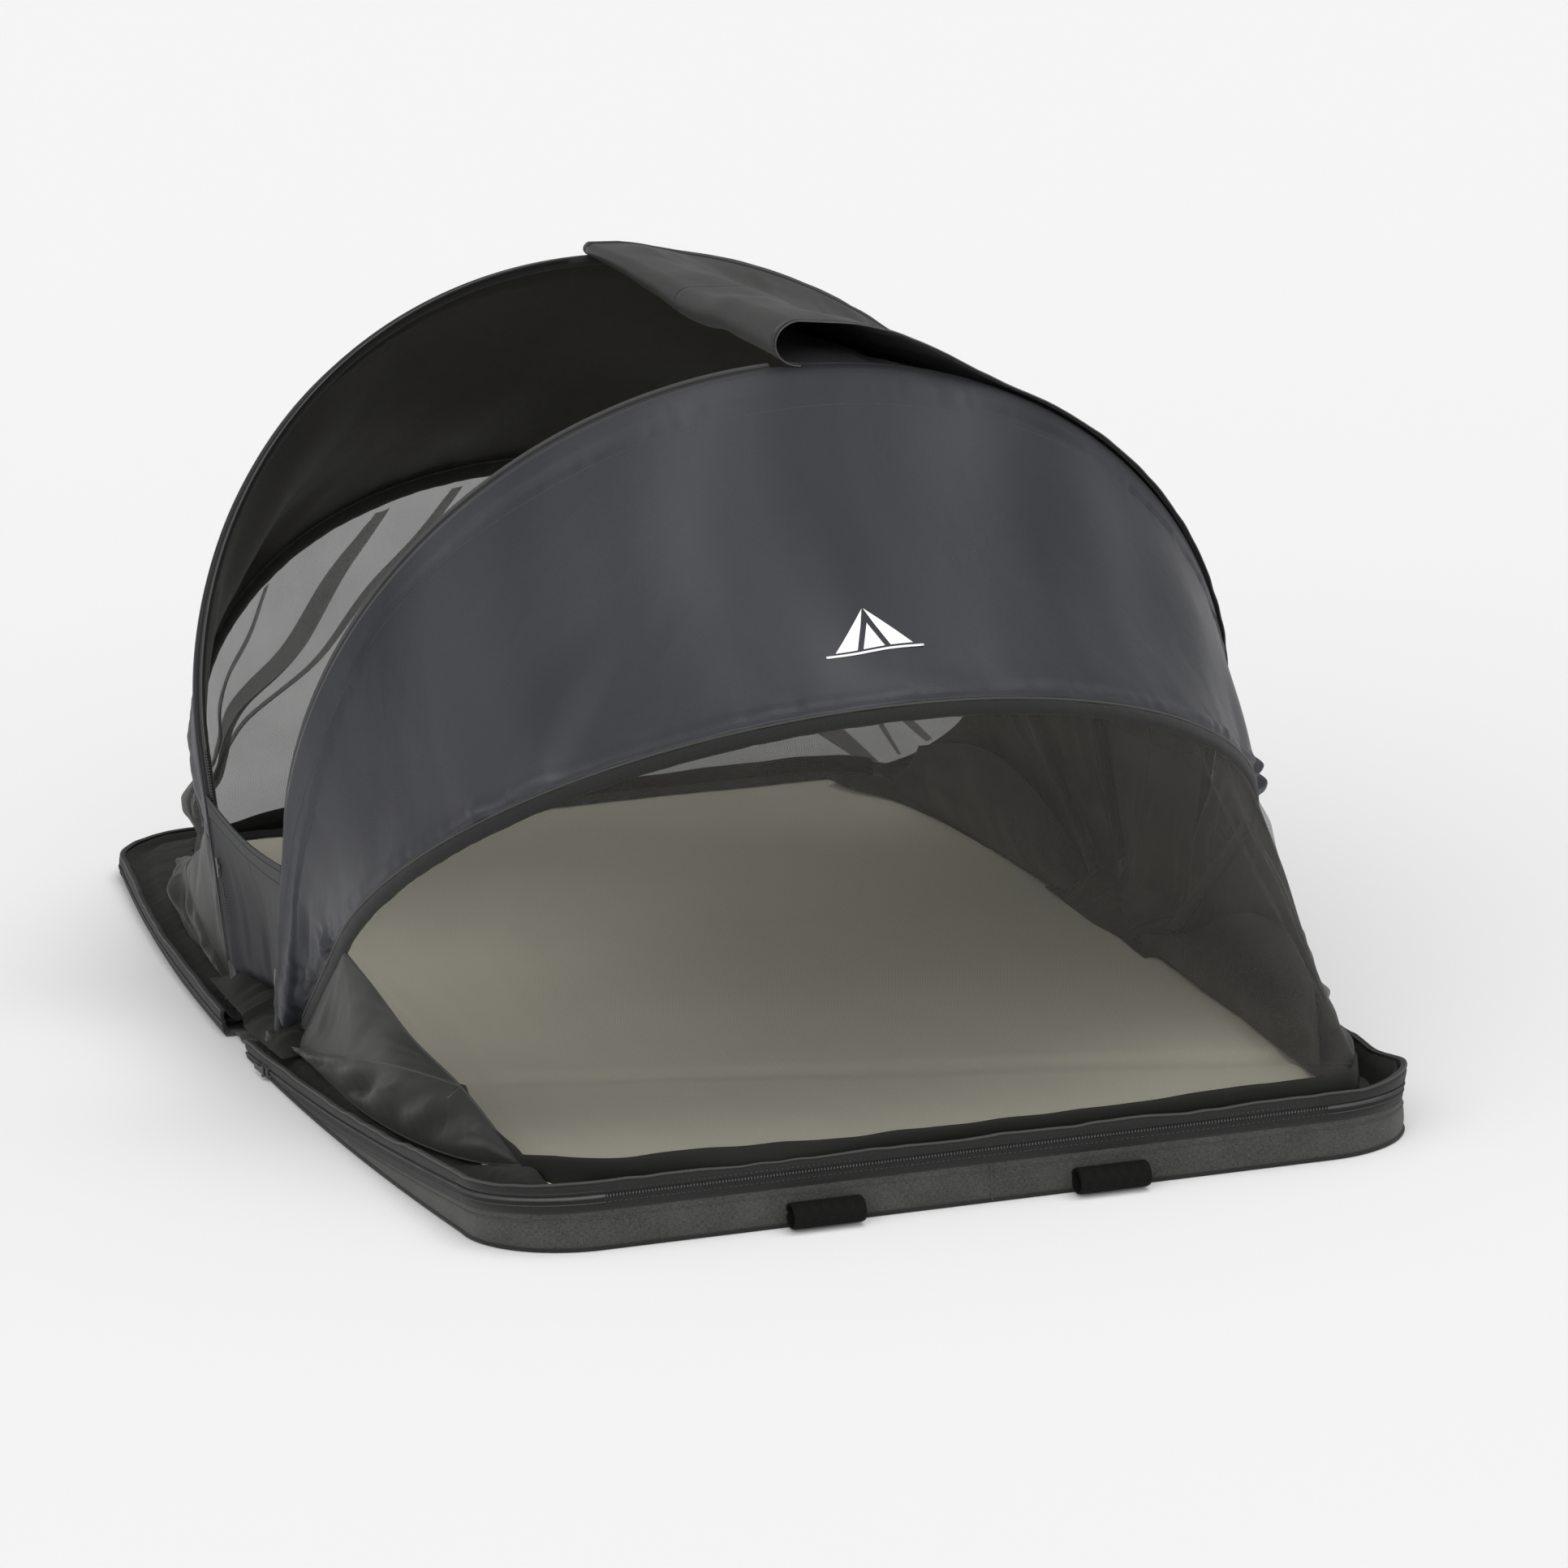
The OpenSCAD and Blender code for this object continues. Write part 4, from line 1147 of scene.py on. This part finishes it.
def build_pleats(grid, rear):
    """Tucks where the slack netting lies double: long slivers that run slantwise from the hoop to the hem."""
    word = WORDS[rear]
    outward = outward_sign(grid)
    made = []
    for number, (start, end, width) in enumerate(PLEATS[rear], 1):
        v = np.linspace(0.02, 0.98, 90)
        across = np.linspace(-1, 1, 15)
        centre = start + (end - start) * v + 0.012 * noise(v / 0.4, number, 87)
        half = 0.5 * width * (0.35 + 0.65 * np.sin(math.pi * v)) * (1 + 0.5 * noise(v / 0.25, number, 88))
        row = (centre[:, None] + half[:, None] * across) * (grid.shape[0] - 1)
        column = np.broadcast_to(v[:, None] * (grid.shape[1] - 1), row.shape)
        flat = spot_on(grid, row, column)
        puff = 0.0012 + 0.0050 * (1 - across**2) * np.sin(math.pi * v)[:, None] * (width / 0.04)
        pleat = flipped(pushed(flat, outward * puff), rear)
        pleat = cloth(f"{word}_netting_pleat_{number}", pleat, NET_DENSE if rear else NET, thickness=0)
        declare(pleat, "folded", [word + "_netting"])
        made.append(pleat)
    return made


def seam_cord(name, line, rear):
    """A thin light cord along a seam."""
    line = flipped(line, rear)
    along = unit(np.gradient(line, axis=0))
    up = np.tile([0.0, 0.0, 1.0], (len(line), 1))
    cord = swept(name, line, unit(np.cross(along, up)), up, round_profile(0.0008, 6), PIPING)
    return cord


def upper_side_panel(name, side, window, middle, joint, rear):
    """The taut panel between the window hoop, the upper part of the window seam and the middle seam."""
    w = np.linspace(0, 1, 190)
    v = np.linspace(0, 1, 40)
    seam_start = SEAM_LEFT if side < 0 else SEAM_RIGHT
    t = 0.014 + (seam_start - 0.014) * np.clip(w / 0.5, 0, 1)
    up_hoop = hoop_point(WINDOW, t, out=0.001, forward=0.004) * np.array([side, 1, 1])
    down_seam = curve(window, joint * np.clip((w - 0.5) / 0.5, 0, 1))
    top = np.where((w < 0.5)[:, None], up_hoop, down_seam)
    grid = lines_between(top, curve(middle, w), v)
    grid = 0.4 * grid + 0.6 * relaxed(grid, 300, border(grid))
    belly = np.sin(math.pi * v) * np.sin(math.pi * w)[:, None]
    folds = 0.0040 * noise(w[:, None] * 5 + v * 2, v * 1.2, 131 + side)
    folds += 0.0022 * noise(w[:, None] * 18 + v * 5, v * 2.2, 133 + side)
    grid = flipped(pushed(grid, side * folds * belly), rear)
    return cloth(name, grid, (SKIRT, TENT_INSIDE), inside=(0, 0, 0.05))


def lower_side_panel(name, side, window, middle, lower, joint, rear):
    """The slack, wrinkled panel between the middle seam, the end of the window seam and the lower seam."""
    w = np.linspace(0, 1, 240)
    v = np.linspace(0, 1, 52)
    corner = 0.78
    first = curve(middle, np.clip(w / corner, 0, 1))
    rest = curve(window, joint + (1 - joint) * np.clip((w - corner) / (1 - corner), 0, 1))
    top = np.where((w < corner)[:, None], first, rest)
    grid = lines_between(top, curve(lower, w), v)
    ends = np.sin(math.pi * w)[:, None]
    length = w[:, None] * 0.5
    folds = 0.0120 * noise(length / 0.070 + v * 1.6, v * 1.3 + length / 0.2, 91 + side)
    folds += 0.0065 * noise(length / 0.034 + v * 2.5, v * 1.8, 92 + side)
    folds += 0.0010 * noise(length / 0.012, v * 3.0, 93 + side)
    outward = np.array([side * 0.85, 0, 0.50])
    push = (0.006 + folds) * np.sin(math.pi * v) * fade(ends, 0, 0.25)
    grid = flipped(grid + outward * push[..., None], rear)
    return cloth(name, grid, (SKIRT, TENT_INSIDE), inside=(0, 0, 0))


def build_side_panels(rear):
    """An upper and a lower panel on each side of the window, with cords along their seams."""
    word = WORDS[rear]
    made = []
    for side, label in ((-1, "left"), (1, "right")):
        window, middle, lower = seams_of(side, rear)
        # Share of the window seam above its joint with the middle seam
        joint = 0.62 if side < 0 else 0.60
        panel = upper_side_panel(f"{word}_side_{label}_upper", side, window, middle, joint, rear)
        dress(panel, "tent_fabric")
        cord = seam_cord(f"{word}_window_seam_{label}", curve(window, np.linspace(0, 1, 120)), rear)
        declare(panel, "stretched", [f"{word}_window_binding"], [cord])
        made += [panel, cord]
        panel = lower_side_panel(f"{word}_side_{label}_lower", side, window, middle, lower, joint, rear)
        dress(panel, "tent_fabric", f"{word}_side_{label}")
        cords = [
            seam_cord(f"{word}_middle_seam_{label}", curve(middle, np.linspace(0, 1, 90)), rear),
            seam_cord(f"{word}_lower_seam_{label}", curve(lower, np.linspace(0, 1, 120)), rear),
        ]
        declare(panel, "stretched", [f"{word}_netting"], cords)
        made += [panel, *cords]
    return made


def build_skirts(rear):
    """Loose lining tucked down onto the edge of the mattress, inside the side panels."""
    word = WORDS[rear]
    made = []
    for side, label in ((-1, "left"), (1, "right")):
        rows, columns = 150, 56
        w = np.linspace(0, 1, rows)
        v = np.linspace(0, 1, columns)
        top = curve(seams_of(side, rear)[1], np.clip(w * 1.05, 0, 1)) * [0.985, 1, 1] + [0, 0.004, -0.001]
        d = 0.004 + (TRAY_LENGTH - 0.120) * w
        tuck = 0.006 * noise(w / 0.28, 2.5, 95 + side) + 0.0015 * noise(w / 0.09, 4.5, 98)
        low = np.stack([side * (0.306 - 0.012 * w + tuck), -d, np.full_like(d, PAD_TOP + 0.0062)], axis=1)
        if side > 0:
            # On the right a deep fold of it hangs higher
            top = top + np.array([-0.010, 0.0, 0.030]) * np.sin(math.pi * w)[:, None]
        grid = lines_between(top, low, v)
        belly = np.sin(math.pi * v**1.2) * fade(w, 1.0, 0.9)[:, None]
        length = w[:, None] * 0.55
        folds = 0.0150 * noise(length / 0.120 + v * 1.1, v * 1.3, 96 + side)
        folds += 0.0035 * noise(length / 0.045 + v * 2, v * 1.5, 97 + side) * v
        grid = pushed(grid, folds * belly)
        grid[..., 2] = np.maximum(grid[..., 2], PAD_TOP + 0.0055)
        skirt = cloth(f"{word}_skirt_{label}", flipped(grid, rear), (SKIRT, TENT_INSIDE), inside=(0, 0, 0.1))
        declare(skirt, "hung", [f"{word}_side_{label}_lower"])
        made.append(skirt)
    return made


# ---- Roof, door and gussets ----

# Shares of the main hoop's length at the roof's lower edge, at the roll along the ridge and at the flap's edge
ROOF_LOW = hoop_share(MAIN, GUSSET_HEIGHT) - 0.010
ROOF_TOP = 0.487
FLAP_EDGE = 0.135
# Rows of the roof's grid up the right side and back down the flap, and the rows round the roll between them
PANEL_ROWS = 150
ROLL_ROWS = 26


def roof_profile(y):
    """Cross-section of the roof at y between the hoops, as pairs of (x, z): up the right side, round the roll
    and back down as the flap."""
    t = np.linspace(ROOF_LOW, ROOF_TOP, PANEL_ROWS)
    panel = hoop_point(MAIN, t, out=0.0036)[:, [0, 2]]
    # The roll is fuller at the front end than at the rear end
    share = np.clip((0.27 - y) / 0.54, 0, 1)
    radius = 0.0040 + 0.0110 * share
    top_z = hoop_point(MAIN, 0.5, out=0.0036)[2]
    centre = np.array([0.002, top_z + radius + 0.0004])
    turn = np.linspace(-0.5 * math.pi, -1.5 * math.pi, ROLL_ROWS)
    curl = centre + radius * np.stack([np.cos(turn) * 1.15, np.sin(turn)], axis=1)
    t = np.linspace(ROOF_TOP, FLAP_EDGE, PANEL_ROWS)
    drop = 0.0016 + (2 * radius - 0.0008) * fade(t, 0.445 - 0.060 * share, 0.490)
    flap = np.stack([hoop_point(MAIN, k, out=0.0036 + h)[[0, 2]] for k, h in zip(t, drop)])
    return np.concatenate([panel, curl, flap[1:]])


def build_roof(rear):
    """One sheet: the right side panel, the roll along the ridge, and the unzipped left side laid over it."""
    word = WORDS[rear]
    columns = 56
    w = np.linspace(0, 1, columns)
    sections = []
    for share in w:
        section = roof_profile(0.27 * (1 - share) * (1 if rear else -1))
        x, z = section[:, 0], section[:, 1]
        rise = np.minimum((z - PIVOT_HEIGHT) / math.sin(MAIN[2]), MAIN[0] + MAIN[1] - 0.0025)
        y = (-PIVOT_SETBACK - rise * math.cos(MAIN[2]) + 0.0030) * (1 - share)
        sections.append(np.stack([x, y, z], axis=1))
    grid = np.stack(sections, axis=1)
    step = np.arange(len(grid))
    lying = fade(step, 140, 190)[:, None]
    outward = unit(np.stack([grid[..., 0], 0 * grid[..., 0], grid[..., 2] - 0.19], axis=2))
    middle = np.sin(0.5 * math.pi * w)
    # Between the hoops the cloth sags, except along the stiff roll at the ridge
    from_ridge = fade(np.abs(grid[..., 0]), 0.035, 0.12)
    push = -(0.002 + 0.022 * from_ridge * fade(grid[..., 2], 0.20, 0.42)) * middle
    true_y = grid[..., 1] * (-1 if rear else 1) + 0.5
    # The flap and the panel below it share their wrinkles, so that neither pokes through the other
    turns = (0, PANEL_ROWS - 1, PANEL_ROWS + ROLL_ROWS - 1, step[-1])
    run = np.interp(step, turns, (ROOF_LOW, ROOF_TOP, ROOF_TOP, FLAP_EDGE))[:, None] * hoop_length(MAIN)
    push += 0.0042 * noise(run / 0.034 + true_y / 0.4, true_y / 0.12, 101) * fade(w, 0.0, 0.25)
    push += 0.0020 * noise(run / 0.013, true_y / 0.055, 103) * fade(w, 0.0, 0.15)
    push += 0.0020 * lying
    grid = grid + outward * push[..., None]
    roof = cloth(word + "_roof", flipped(grid, rear), (TENT, TENT_INSIDE), inside=(0, 0, 0.15))
    dress(roof, "tent_fabric", f"door_panel_{word}", f"door_flap_{word}")
    # Zip tape and teeth along the freed edge of the flap
    edge = grid[PANEL_ROWS:, 0]
    outwards = unit(edge - grid[PANEL_ROWS:, 3])
    lifted = outward[PANEL_ROWS:, 0]
    reach = 0.0075
    profile = np.array([(-0.004, 0.0006), (reach, 0.0006), (reach, -0.0006), (-0.004, -0.0006)])
    edge, outwards, lifted = (flipped(v, rear) for v in (edge, outwards, lifted))
    tape = swept(word + "_flap_zip_tape", edge, outwards, lifted, profile, BINDING)
    teeth = zip_teeth(word + "_flap_zip_teeth", edge + outwards * reach, outwards, lifted, COIL)
    declare(roof, "folded", [word + "_main_sleeve"], [tape, teeth])
    return [roof, tape, teeth]


def build_gussets(rear):
    """Low walls beside the fold, with a double-stitched hem on top, tucked into the case at the bottom."""
    word = WORDS[rear]
    made = []
    for side, label in ((1, "right"), (-1, "left")):
        rows, columns = 90, 50
        heights = np.linspace(-0.0150, GUSSET_HEIGHT + 0.003, rows)
        w = np.linspace(0, 1, columns)
        x = np.full(rows, MAIN[0] + 0.0030)
        z = PIVOT_HEIGHT + heights * math.sin(MAIN[2])
        y = -PIVOT_SETBACK - heights * math.cos(MAIN[2]) + 0.003
        first = np.stack([side * x, y, z], axis=1)
        second = np.stack([side * x, 0 * y, z], axis=1)
        grid = lines_between(first, second, w)
        rise = heights[:, None]
        # Nearly taut at the hem, with soft upright folds that gather towards the foot
        low = fade(rise, 0.135, 0.03)
        folds = 0.0045 * noise(w * 3.6 + rise * 5, rise / 0.12, 111 + side) * fade(w, 0, 0.12)
        folds += 0.0012 * noise(w * 9 + rise * 9, rise / 0.05, 113 + side) * fade(w, 0, 0.1)
        hollow = -0.014 * np.sin(0.5 * math.pi * w) * fade(rise, 0.16, 0.06)
        tuck = -0.030 * fade(rise, 0.030, -0.012)
        grid[..., 0] += side * (hollow + folds * low + tuck)
        droop = 0.007 if side < 0 else -0.010
        grid[..., 2] -= droop * np.sin(0.5 * math.pi * w) * fade(rise, 0.08, 0.15)
        grid[..., 0] += side * 0.0008 * fade(rise, GUSSET_HEIGHT - 0.016, GUSSET_HEIGHT - 0.013)
        sheet = flipped(grid, rear)
        # Their outer side is the darker copy of the tent fabric, painted shade for the shadow on them
        gusset = cloth(f"{word}_gusset_{label}", sheet, (GUSSET_PAINTED_SHADE, TENT_INSIDE), inside=(0, 0, 0.1))
        dress(gusset, "tent_fabric", f"gusset_{word}_{label}")
        rows_of_thread = []
        outwards = np.tile([float(side), 0.0, 0.0], (columns, 1))
        for number, height in enumerate((GUSSET_HEIGHT - 0.003, GUSSET_HEIGHT - 0.0135)):
            line = sheet[int(np.argmin(np.abs(heights - height)))] + outwards * 0.0004
            name = f"{word}_gusset_{label}_stitching_{number}"
            row_of_thread = stitched(name, line, outwards, THREAD, pitch=0.003)
            rows_of_thread.append(row_of_thread)
        declare(gusset, "stretched", [word + "_main_sleeve"], rows_of_thread)
        made += [gusset, *rows_of_thread]
    return made


def build_door_zip(rear):
    """Zip tape and teeth along the door side of the main hoop's left half."""
    word = WORDS[rear]
    t = np.linspace(0.512, 1 - hoop_share(MAIN, 0.034), 330)
    line = hoop_point(MAIN, t, out=0.0010, forward=-0.0042)
    outwards = unit(hoop_point(MAIN, t, out=0.011, forward=-0.0042) - line)
    doorwards = unit(hoop_point(MAIN, t, out=0.0010, forward=-0.0142) - line)
    profile = np.array([(0.0006, -0.001), (0.0006, 0.0062), (-0.0006, 0.0062), (-0.0006, -0.001)])
    line, outwards, doorwards = (flipped(v, rear) for v in (line, outwards, doorwards))
    tape = swept(word + "_door_zip_tape", line, outwards, doorwards, profile, BINDING)
    finish_piece(tape, word + "_hoop", "black_binding")
    teeth = zip_teeth(word + "_door_zip_teeth", line + doorwards * 0.0065, doorwards, outwards, COIL)
    finish_piece(teeth, word + "_hoop", "zip_coil", [word + "_door_coil"])


# ---- Webbing loops and the print ----


def build_webbing_loop(name, x, node):
    """A loop of webbing, folded over and sewn under the case."""
    turns = np.linspace(-0.50 * math.pi, 1.46 * math.pi, 40)
    centre = np.array([x, -TRAY_LENGTH - LOOP_RADIUS - 0.0002, LOOP_RADIUS + 0.0003])
    # The loop is a little wider than high, because the case stands on it
    ring = np.stack([0 * turns, np.cos(turns) * 1.10, np.sin(turns) * 0.88], axis=1)
    path = centre + ring * (LOOP_RADIUS - 0.0010)
    path[:, 2] = np.maximum(path[:, 2], 0.0012)
    across = np.tile([1.0, 0.0, 0.0], (len(path), 1))
    along = unit(np.gradient(path, axis=0))
    up = unit(np.cross(along, across))
    half = LOOP_WIDTH / 2
    xs = np.linspace(-half, half, 26)
    bead = 0.0009 + 0.0002 * (np.abs(xs) > half - 0.0022)
    bead[0] = bead[-1] = 0.0004
    profile = np.concatenate([np.stack([xs, bead], 1), np.stack([xs[::-1], -bead[::-1]], 1)])
    loop = swept(name, path, across, up, profile, WEBBING)
    finish_piece(loop, "tray", "webbing", [node])


def build_print(grid, outward):
    """A plain white pictogram of a ridge tent on the visor: a generic sign in place of somebody's mark."""
    cloth_points = grid.reshape(-1, 3)
    centre = np.array([-0.008, -0.444, 0.360])
    nearest = int(np.argmin(np.linalg.norm(cloth_points - centre, axis=1)))
    row, column = divmod(nearest, grid.shape[1])
    normal = unit(outward * grid_normals(grid)[row, column])
    right = unit(np.array([1.0, 0.0, 0.0]) - normal * normal[0])
    upward = np.cross(normal, right)
    if upward[2] < 0:
        upward = -upward
    origin = grid[row, column]
    # The two halves of the tent, its doorway and the ground, each as four corners
    shapes = [
        [(-0.027, -0.016), (-0.0005, 0.017), (-0.0045, 0.004), (-0.0115, -0.016)],
        [(0.027, -0.016), (0.0005, 0.017), (0.0045, 0.004), (0.0115, -0.016)],
        [(-0.0075, -0.016), (0.0, 0.0050), (0.0, 0.0050), (0.0075, -0.016)],
        [(-0.034, -0.0195), (0.034, -0.0195), (0.034, -0.0178), (-0.034, -0.0178)],
    ]
    steps = 14
    points, faces = [], []
    for shape in shapes:
        a, b, c, d = (np.array(p) for p in shape)
        base = len(points)
        for i in range(steps + 1):
            for j in range(steps + 1):
                u, v = i / steps, j / steps
                p = a * (1 - u) * (1 - v) + b * u * (1 - v) + c * u * v + d * (1 - u) * v
                spot = origin + right * p[0] + upward * p[1]
                near = np.argsort(np.linalg.norm(cloth_points - spot, axis=1))[:6]
                height = ((cloth_points[near] - spot) @ normal).mean()
                points.append(spot + normal * (height + 0.0008))
        for i in range(steps):
            for j in range(steps):
                k = base + i * (steps + 1) + j
                faces.append((k, k + 1, k + steps + 2, k + steps + 1))
    points = np.array(points)
    mark = turned_out(add_mesh("tent_pictogram", points, faces, PRINT, points[:, [0, 2]]))
    solid = mark.modifiers.new("thickness", "SOLIDIFY")
    solid.thickness = 0.0004
    solid.offset = 0
    squash_to_hoop([mark], "front_window_hoop")


# ---- Building everything ----


for rear in (False, True):
    body, word = ("lid", "rear") if rear else ("tray", "front")
    edge = Edge(rear)
    build_case_side(edge, body)
    build_base(edge, body)
    build_sleeves(rear)
    visor_grid, visor_outward = build_visor(rear)
    if not rear:
        build_print(visor_grid, visor_outward)
    net, hem, net_grid = build_netting(rear)
    pleats = build_pleats(net_grid, rear)
    panels = build_side_panels(rear)
    skirts = build_skirts(rear)
    squash_to_hoop([net, hem, *pleats, *panels, *skirts], word + "_window_hoop")
    roof = build_roof(rear)
    gussets = build_gussets(rear)
    squash_to_hoop(roof + gussets, word + "_hoop")
    build_door_zip(rear)
spine = build_spine()
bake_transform(spine)
build_pads()
build_cover()
build_fold_covers()
for offset, node in zip(LOOP_OFFSETS, ("webbing_loop_left", "webbing_loop_right")):
    build_webbing_loop(node + "_strap", offset, node)

# Each sheet's uv holds what its cloth measures along the rows and columns of its grid; it is read back here and
# not used further
for piece, held, rests_on, with_pieces in SHEETS:
    uv = np.empty(len(piece.data.loops) * 2, np.float32)
    piece.data.uv_layers["cloth"].data.foreach_get("uv", uv)


# ---- Stage ----

# Brightness of the plain sky between the soft boxes
SKY = 0.44


def build_stage():
    """A plain pale floor under an even studio sky with three soft boxes: overhead, in front and on the left."""
    size = 40.0
    corners = [(-size, -size, 0), (size, -size, 0), (size, size, 0), (-size, size, 0)]
    floor_mesh = bpy.data.meshes.new("floor")
    floor_mesh.from_pydata(corners, [], [(0, 1, 2, 3)])
    floor = bpy.data.objects.new("floor", floor_mesh)
    bpy.context.scene.collection.objects.link(floor)
    g = Graph("floor")
    g.set(Base_Color=(0.84, 0.84, 0.84, 1), Roughness=1.0, Specular_IOR_Level=0.0)
    floor_mesh.materials.append(g.material)
    world = bpy.data.worlds.new("studio")
    world.use_nodes = True
    bpy.context.scene.world = world
    tree = world.node_tree
    direction = tree.nodes.new("ShaderNodeTexCoord").outputs["Generated"]
    total = None
    # Each soft box: the way to it, the cosines of the angles of its outer and inner edge, and its brightness
    boxes = [
        ((0.28, -0.10, 0.95), 0.87, 0.985, 2.50),
        ((-0.33, -0.90, 0.22), 0.55, 0.95, 2.15),
        ((-1.00, -0.10, 0.55), 0.80, 0.97, 0.35),
    ]
    for aim, outer, inner, power in boxes:
        dot = tree.nodes.new("ShaderNodeVectorMath")
        dot.operation = "DOT_PRODUCT"
        tree.links.new(direction, dot.inputs[0])
        dot.inputs[1].default_value = Vector(aim).normalized()
        lobe = tree.nodes.new("ShaderNodeMapRange")
        lobe.interpolation_type = "SMOOTHSTEP"
        tree.links.new(dot.outputs["Value"], lobe.inputs["Value"])
        lobe.inputs["From Min"].default_value = outer
        lobe.inputs["From Max"].default_value = inner
        lobe.inputs["To Max"].default_value = power
        add = tree.nodes.new("ShaderNodeMath")
        tree.links.new(lobe.outputs["Result"], add.inputs[0])
        if total is None:
            add.inputs[1].default_value = SKY
        else:
            tree.links.new(total, add.inputs[1])
        total = add.outputs[0]
    tree.links.new(total, tree.nodes["Background"].inputs["Color"])


def build_camera():
    """A long lens in front of the tent, a little to its left and above it."""
    target = Vector((0.0640, 0.0174, 0.1489))
    azimuth, elevation, roll, distance = math.radians(16.41), math.radians(13.15), math.radians(-2.25), 5.584
    forward = Vector((
        math.sin(azimuth) * math.cos(elevation), math.cos(azimuth) * math.cos(elevation), -math.sin(elevation)
    ))
    data = bpy.data.cameras.new("camera")
    data.lens = 172.7
    data.sensor_width = 36
    camera = bpy.data.objects.new("camera", data)
    camera.rotation_mode = "QUATERNION"
    camera.location = target - forward * distance
    camera.rotation_quaternion = forward.to_track_quat("-Z", "Y") @ Quaternion((0, 0, 1), roll)
    bpy.context.scene.collection.objects.link(camera)
    bpy.context.scene.camera = camera


build_stage()
build_camera()
bpy.context.scene.view_settings.view_transform = "Standard"
